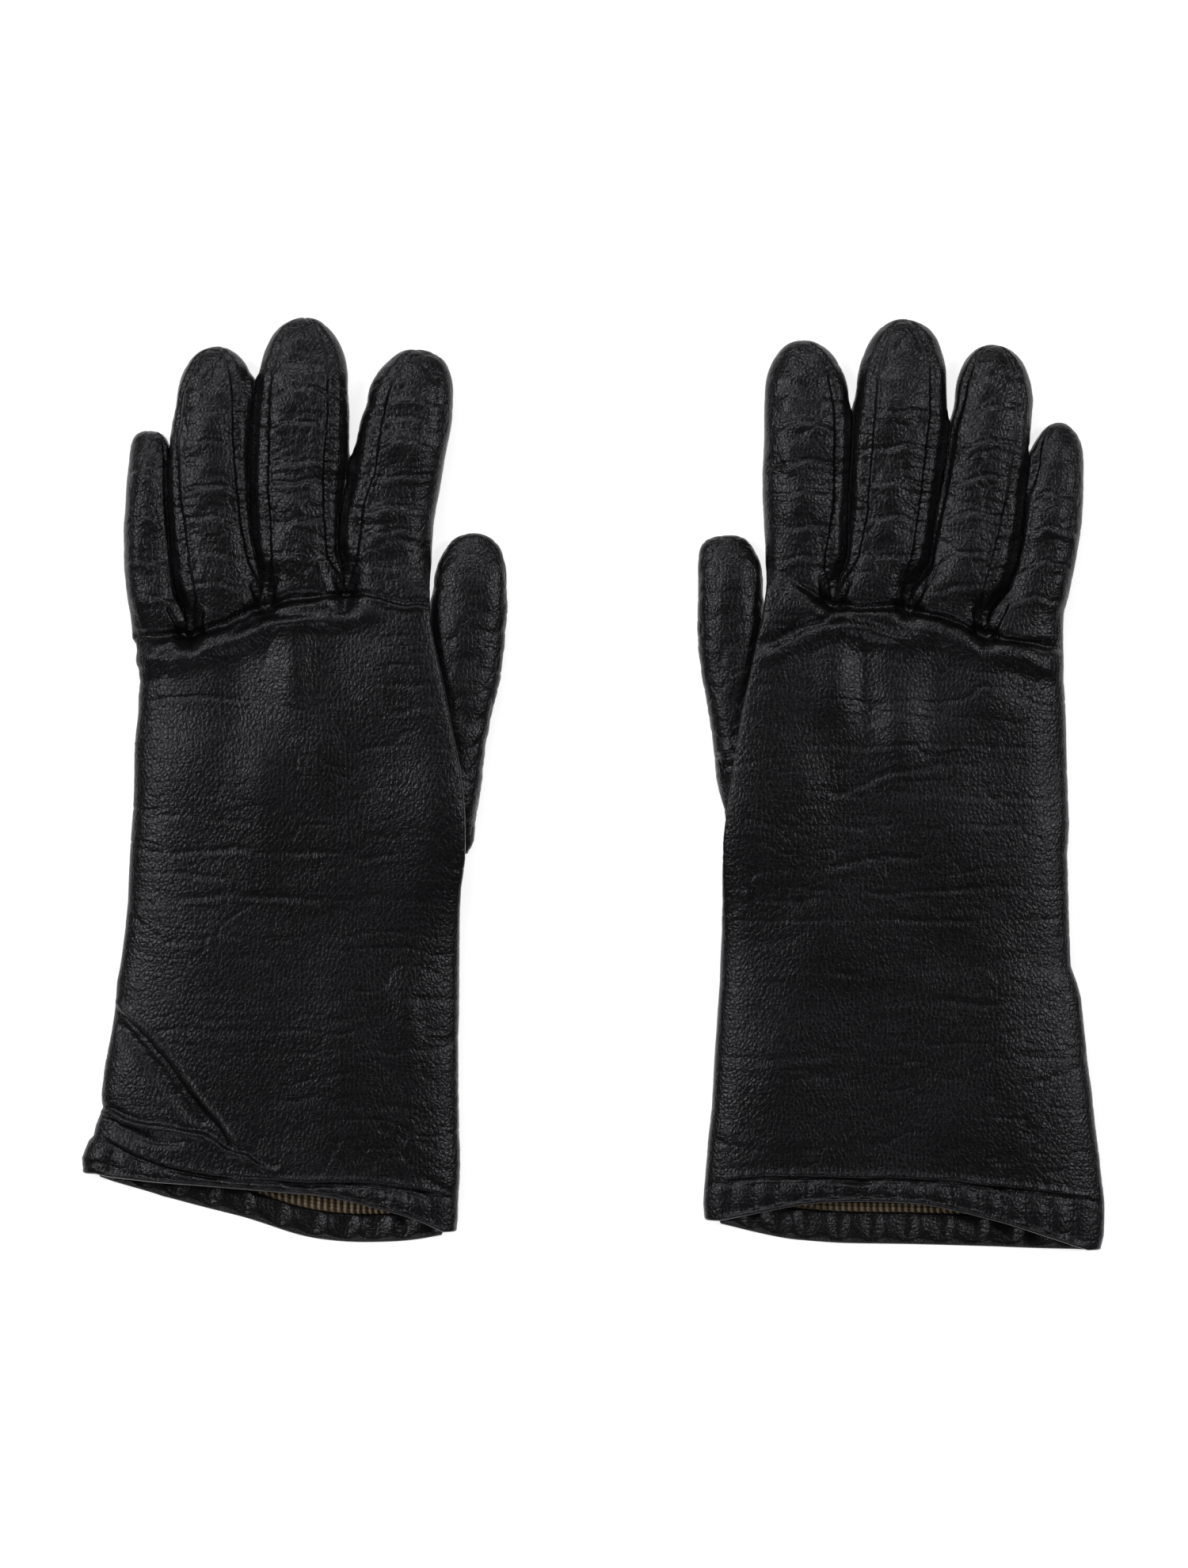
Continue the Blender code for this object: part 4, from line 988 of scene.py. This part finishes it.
def build_glove(glove):
    side = glove["name"]
    skin = build_skin(glove)
    co = np.concatenate(skin.co)
    names = list(skin.faces)
    faces = {k: np.concatenate(v) for k, v in skin.faces.items()}
    every = np.concatenate([faces[k] for k in names])
    n = mesh_normals(co, every)
    probe = skin.fingers["middle"][0][40, ND // 2]
    if n[probe, 2] < 0:
        for k in names:
            f = faces[k]
            flipped = f[:, ::-1].copy()
            tri = f[:, 3] < 0
            flipped[tri] = np.concatenate([f[tri][:, 2::-1], f[tri][:, 3:]], 1)
            faces[k] = flipped
        every = np.concatenate([faces[k] for k in names])
        n = mesh_normals(co, every)
    rest = co.copy()
    relief = leather_relief(glove, skin, co, n)
    groove = np.zeros(len(co))
    if skin.groove:
        keys = np.fromiter(skin.groove.keys(), int)
        groove[keys] = np.fromiter(skin.groove.values(), float)
    inner = np.unique(faces["cuff_facing"][faces["cuff_facing"] >= 0])
    outer = np.unique(faces["cuff_hem"][faces["cuff_hem"] >= 0])
    scale = np.ones(len(co))
    scale[inner] = 0.10
    scale[outer] = np.maximum(scale[outer], 0.6)
    co = co + n * (relief * scale + groove)[:, None]
    co = ground(press_apart(glove, skin, co, n))
    n = mesh_normals(co, every)
    hand, cuff = f"{side}_hand", f"{side}_cuff"
    made = {}

    def leather(piece, material=BLACK):
        obj = make_piece(f"{side}_{piece}_leather", co, n, faces[piece], rest, material)
        made[piece] = obj
        return obj

    for piece, node in (("trank_back", "back_panel"), ("trank_palm", "palm_panel")):
        obj = leather(piece)
        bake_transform(obj)
        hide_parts(f"{side}_{node}", f"{side}_cuff_{'back' if node[0] == 'b' else 'palm'}")
    hem = leather("cuff_hem")
    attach(hem, cuff)
    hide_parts(f"{side}_cuff_hem")
    facing = leather("cuff_facing", FACING)
    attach(facing, cuff)

    for spec in glove["fingers"]:
        name = spec["name"]
        for part in ("back", "palm", "side_high", "side_low"):
            obj = leather(f"{name}_{part}")
            bend_finger(obj)
            if part in ("back", "palm"):
                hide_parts(f"{side}_{name}_{part}")
            else:
                towards_thumb = (part == "side_high") == (glove["thumb_side"] > 0)
                node = f"{side}_{name}_fourchette_{'thumb_side' if towards_thumb else 'outer_side'}"
                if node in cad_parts:
                    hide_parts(node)
        # the knitted stall inside
        g, tip, _ = skin.fingers[name]
        pick = g[2::5][:, ::4]
        inside = co - n * 1.25
        ids = {}
        grid = np.vectorize(lambda k: ids.setdefault(int(k), len(ids)))(pick)
        pts = inside[np.array(list(ids))]
        end = len(pts)
        pts = np.concatenate([pts, [inside[tip]]])
        q = np.stack([grid[:-1], np.roll(grid[:-1], -1, 1), np.roll(grid[1:], -1, 1), grid[1:]], -1).reshape(-1, 4)
        fan = np.stack([grid[-1], np.roll(grid[-1], -1), np.full(grid.shape[1], end), np.full(grid.shape[1], -1)], -1)
        stall = make_piece(f"{side}_{name}_lining_stall", pts, None, np.concatenate([q, fan]), pts, KNIT)
        bend_finger(stall)
        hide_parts(f"{side}_{name}_lining")

    # knitted lining of the cuff and hand: ribs along the glove
    ring, inward, arc, axis_x = skin.mouth
    total = ring.shape[1]
    ribs = 6
    around = np.linspace(0, total, int(arc[-1] / 1.62) * ribs, endpoint=False)
    depth_rows = np.concatenate([np.arange(glove["facing"] - 1.5, glove["facing"] + 22, 0.55),
                                 np.linspace(glove["facing"] + 23, 150, 40)])
    rows = []
    closed_ring = np.concatenate([ring, ring[:, :1]], 1)
    closed_in = np.concatenate([inward, inward[:1]], 0)
    col = np.arange(total + 1)
    phase = np.arange(len(around)) % ribs
    rib = np.cos(2 * math.pi * phase / ribs)   # out towards the leather where the wale is thin
    base_y = np.interp(around, col, closed_ring[0, :, 1])
    n_back = 4 * ND + 1
    in_x = np.interp(around, col, closed_in[:, 0])
    in_z = np.interp(around, col, closed_in[:, 2])
    lo, hi = np.floor(around).astype(int), np.floor(around).astype(int) + 1
    frac = around - lo
    crotch_y = min(float(gy(v)) for _, v in glove["crotches"]) - 4.0
    share = np.where(depth_rows > 30, (depth_rows - 30) / 120, 0)
    y_col = np.empty((len(depth_rows), total + 1))
    x_col, z_col, room = np.empty_like(y_col), np.empty_like(y_col), np.empty_like(y_col)
    opposite = np.concatenate([i_palm_of(skin, np.arange(total)), i_palm_of(skin, [0])])
    for a in range(total + 1):
        line = closed_ring[:, a]
        start = line[0, 1]
        y_col[:, a] = start + np.minimum(depth_rows, 30) + (crotch_y - start - 30) * share
        x_col[:, a] = np.interp(y_col[:, a], line[:, 1], line[:, 0])
        z_col[:, a] = np.interp(y_col[:, a], line[:, 1], line[:, 2])
        across = closed_ring[:, opposite[a]]
        room[:, a] = np.abs(z_col[:, a] - np.interp(y_col[:, a], across[:, 1], across[:, 2]))
    for r, depth in enumerate(depth_rows):
        x = x_col[r, lo] + (x_col[r, hi] - x_col[r, lo]) * frac
        y = y_col[r, lo] + (y_col[r, hi] - y_col[r, lo]) * frac
        z = z_col[r, lo] + (z_col[r, hi] - z_col[r, lo]) * frac
        off = 0.95 + 0.8 * float(smooth(glove["facing"] - 0.5, glove["facing"] + 1.5, depth)) + 1.3 * float(smooth(9, 16, depth)) + 0.42 * rib + 0.10 * np.cos(2 * math.pi * depth / 1.1) * (rib > 0)
        thick = room[r, lo] + (room[r, hi] - room[r, lo]) * frac
        on_back = smooth(1, 5, around) * smooth(n_back, n_back - 5, around)
        off = np.maximum(off, (2.35 + 0.42 * rib) * on_back)
        if depth > 30:
            off = np.minimum(off, 0.36 * thick)
            x = x + (axis_x - x) * 0.07 * float(smooth(30, 60, depth))
        rows.append(np.stack([x + in_x * off, y, z + in_z * off], -1))
    pts = np.concatenate(rows)
    nr, nc = len(rows), len(around)
    grid = np.arange(nr * nc).reshape(nr, nc)
    q = np.stack([grid[:-1], grid[1:], np.roll(grid[1:], -1, 1), np.roll(grid[:-1], -1, 1)], -1).reshape(-1, 4)
    spots = np.stack([np.tile(np.arange(nc) * 1.62 / ribs, nr), np.repeat(depth_rows, nc), np.zeros(nr * nc)], 1)
    lining = make_piece(f"{side}_knit_lining", pts, None, q, spots, KNIT)
    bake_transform(lining)
    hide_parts(f"{side}_hand_lining", f"{side}_cuff_lining")
    build_thumb(glove)
    return skin


def build_thumb(glove):
    side = glove["name"]
    spec = glove["thumb"]
    sign = glove["thumb_side"]
    tx, ty = float(gx(spec["tip"][0])), float(gy(spec["tip"][1]))
    y0, y1 = float(gy(spec["rows"][0][0])), float(gy(spec["rows"][-1][0]))
    n_ring, n, n_cap = 96, 128, 24
    theta = np.arange(n_ring) / n_ring * 2 * math.pi
    rows = []
    k1 = n - n_cap
    for j in range(n + 1):
        if j <= k1:
            y, small = y0 + (y1 - y0) * j / k1, 1.0
        else:
            a = (j - k1) / (n_cap + 0.35) * math.pi / 2
            y, small = y1 + (ty - y1) * math.sin(a) ** (2 / spec["p"]), math.cos(a) ** (2 / spec["p"])
        l, r = float(table(spec["rows"], y, 1)), float(table(spec["rows"], y, 2))
        centre, half = (l + r) / 2, (r - l) / 2
        centre += (tx - centre) * float(smooth(y1, ty, y))
        top = THUMB_TOP * float(0.35 + 0.65 * smooth(y0, y0 + 14, y))
        top *= 1 - 0.1 * float(smooth(y1, ty, y))
        cx, cz = section(theta, 2.3)
        mid = top * 0.48
        rows.append(np.stack([centre + half * small * cx, np.full(n_ring, y), mid + np.where(cz > 0, top - mid, mid) * small * cz], -1))
    ring = np.stack(rows)
    co = ring.reshape(-1, 3)
    grid = np.arange(len(co)).reshape(n + 1, n_ring)
    co = np.concatenate([co, [[tx, ty + 0.02, THUMB_TOP * 0.43]], [[float(ring[0, :, 0].mean()), y0 - 0.5, float(ring[0, :, 2].mean())]]])
    tip, base = len(co) - 2, len(co) - 1
    q = np.stack([grid[:-1], np.roll(grid[:-1], -1, 1), np.roll(grid[1:], -1, 1), grid[1:]], -1)
    fan = np.stack([grid[-1], np.roll(grid[-1], -1), np.full(n_ring, tip), np.full(n_ring, -1)], -1)
    fan2 = np.stack([np.roll(grid[0], -1), grid[0], np.full(n_ring, base), np.full(n_ring, -1)], -1)
    every = np.concatenate([q.reshape(-1, 4), fan, fan2])
    nrm = mesh_normals(co, every)
    probe = grid[60, n_ring // 4]
    if nrm[probe, 2] < 0:
        q = q[..., ::-1]
        fan, fan2 = fan[:, [1, 0, 2, 3]], fan2[:, [1, 0, 2, 3]]
        every = np.concatenate([q.reshape(-1, 4), fan, fan2])
        nrm = mesh_normals(co, every)
    seed = glove["seed"] + 90
    p = co.copy()
    warp = np.stack([fbm(p / 12.0, 2, seed), fbm(p / 12.0, 2, seed + 1), np.zeros(len(p))], 1)
    out = 0.42 * fbm(p / np.array([8.0, 10.0, 14.0]), 2, seed + 2)
    out += 0.10 * vnoise(p / np.array([16.0, 3.4, 20.0]) + warp * 0.5, seed + 3)
    f1, f2 = cells(p / np.array([8.5, 6.4, 9.0]) + warp * 0.4, seed + 4)
    out -= 0.16 * np.clip(1 - (f2 - f1) / 0.13, 0, 1)
    out += 0.12 * (0.5 - f1)
    out -= 0.15 * hairlines(p / np.array([12.0, 3.5, 14.0]) + warp, 0.12, seed + 5)
    up = smooth(0.0, 0.5, nrm[:, 2])
    seam = spec["seam"]
    d, _, _ = near_line(p[:, 0], p[:, 1], seam)
    out -= up * 0.7 * np.exp(-(d / 0.55) ** 2)
    out += up * 0.2 * np.exp(-((d - 1.2) / 0.6) ** 2)
    down = smooth(0.0, 0.5, -nrm[:, 2])
    out -= down * 0.6 * np.exp(-((p[:, 0] - (co[:, 0].mean())) / 0.5) ** 2)
    rest = co.copy()
    co = ground(co + nrm * out[:, None])
    co[:, 2] = np.minimum(co[:, 2], THUMB_LIFT - 0.15)
    nrm = mesh_normals(co, every)
    half = n_ring // 2
    wrap = np.concatenate([np.arange(n_ring), [0]])
    upper = q[:, :half].reshape(-1, 4)
    lower = q[:, half:].reshape(-1, 4)
    for part, faces in (("back", np.concatenate([upper, fan])), ("palm", np.concatenate([lower, fan2]))):
        obj = make_piece(f"{side}_thumb_{part}_leather", co, nrm, faces, rest, BLACK)
        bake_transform(obj)
        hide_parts(f"{side}_thumb_{part}")
    pick = grid[6:-2:6, ::4]
    inside = co - nrm * 1.25
    pts = np.concatenate([inside[pick.ravel()], [inside[tip]]])
    g = np.arange(pick.size).reshape(pick.shape)
    qq = np.stack([g[:-1], np.roll(g[:-1], -1, 1), np.roll(g[1:], -1, 1), g[1:]], -1).reshape(-1, 4)
    ff = np.stack([g[-1], np.roll(g[-1], -1), np.full(g.shape[1], len(pts) - 1), np.full(g.shape[1], -1)], -1)
    stall = make_piece(f"{side}_thumb_lining_stall", pts, None, np.concatenate([qq, ff]), pts, KNIT)
    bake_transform(stall)
    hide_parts(f"{side}_thumb_lining")


for glove_ in (LEFT, RIGHT):
    build_glove(glove_)

# ------------------------------------------------------------------ floor, light, camera
scene = bpy.context.scene
floor_mesh = bpy.data.meshes.new("floor")
s = 3.0
floor_mesh.from_pydata([(-s, -s, 0), (s, -s, 0), (s, s, 0), (-s, s, 0)], [], [(0, 1, 2, 3)])
floor = bpy.data.objects.new("floor", floor_mesh)
scene.collection.objects.link(floor)
fm = Nodes("pale_floor")
fm.shader.inputs["Base Color"].default_value = (0.86, 0.86, 0.86, 1)
fm.shader.inputs["Emission Color"].default_value = (1, 1, 1, 1)
fm.shader.inputs["Emission Strength"].default_value = 0.78
fm.shader.inputs["Roughness"].default_value = 0.9
fm.shader.inputs["Specular IOR Level"].default_value = 0.1
# the far face lets light through, so the palms can be looked at from below
geo = fm.add("ShaderNodeNewGeometry")
clear = fm.add("ShaderNodeBsdfTransparent")
blend_ = fm.add("ShaderNodeMixShader")
out_ = fm.tree.nodes["Material Output"]
fm.link(geo.outputs["Backfacing"], blend_.inputs[0])
fm.link(fm.shader.outputs[0], blend_.inputs[1])
fm.link(clear.outputs[0], blend_.inputs[2])
fm.link(blend_.outputs[0], out_.inputs["Surface"])
floor_mesh.materials.append(fm.material)


def softbox(name, place, target, size, power, colour=(1, 1, 1)):
    light = bpy.data.lights.new(name, "AREA")
    light.shape = "RECTANGLE"
    light.size, light.size_y = size
    light.energy = power
    light.color = colour
    obj = bpy.data.objects.new(name, light)
    obj.location = place
    obj.rotation_euler = (Vector(target) - Vector(place)).to_track_quat("-Z", "Y").to_euler()
    scene.collection.objects.link(obj)
    return obj


def strip_light(name, tilt, heading, away, size, irradiance, colour=(1, 1, 1)):
    """A softbox seen from the gloves at `tilt` degrees from straight up, in the direction `heading`."""
    t, h = math.radians(tilt), math.radians(heading)
    place = (away * math.sin(t) * math.cos(h), away * math.sin(t) * math.sin(h), away * math.cos(t))
    power = irradiance * math.pi * away ** 2 / math.cos(t)
    softbox(name, place, (0, 0, 0), size, power, colour)


strip_light("left_softbox", 35, 160, 3.6, (0.8, 1.2), 0.52, (1, 0.995, 0.99))
strip_light("right_softbox", 38, 16, 3.6, (0.7, 1.1), 0.42, (1, 0.99, 0.98))
strip_light("top_softbox", 46, 98, 3.6, (1.5, 0.8), 0.34, (1, 0.99, 0.98))
strip_light("low_fill", 55, -100, 3.6, (1.4, 0.8), 0.14)
world = bpy.data.worlds.new("studio")
scene.world = world
world.use_nodes = True
world.node_tree.nodes["Background"].inputs[0].default_value = (0.9, 0.93, 1.0, 1)
world.node_tree.nodes["Background"].inputs[1].default_value = 0.02

camera_data = bpy.data.cameras.new("camera")
camera_data.lens = 100
camera_data.sensor_width = 36
camera_data.clip_start = 0.05
camera = bpy.data.objects.new("camera", camera_data)
camera.location = (0, -0.00055, 1.21 + 0.006)
camera.rotation_euler = (0, 0, 0)
scene.collection.objects.link(camera)
scene.camera = camera
scene.view_settings.view_transform = "Standard"
scene.view_settings.look = "None"
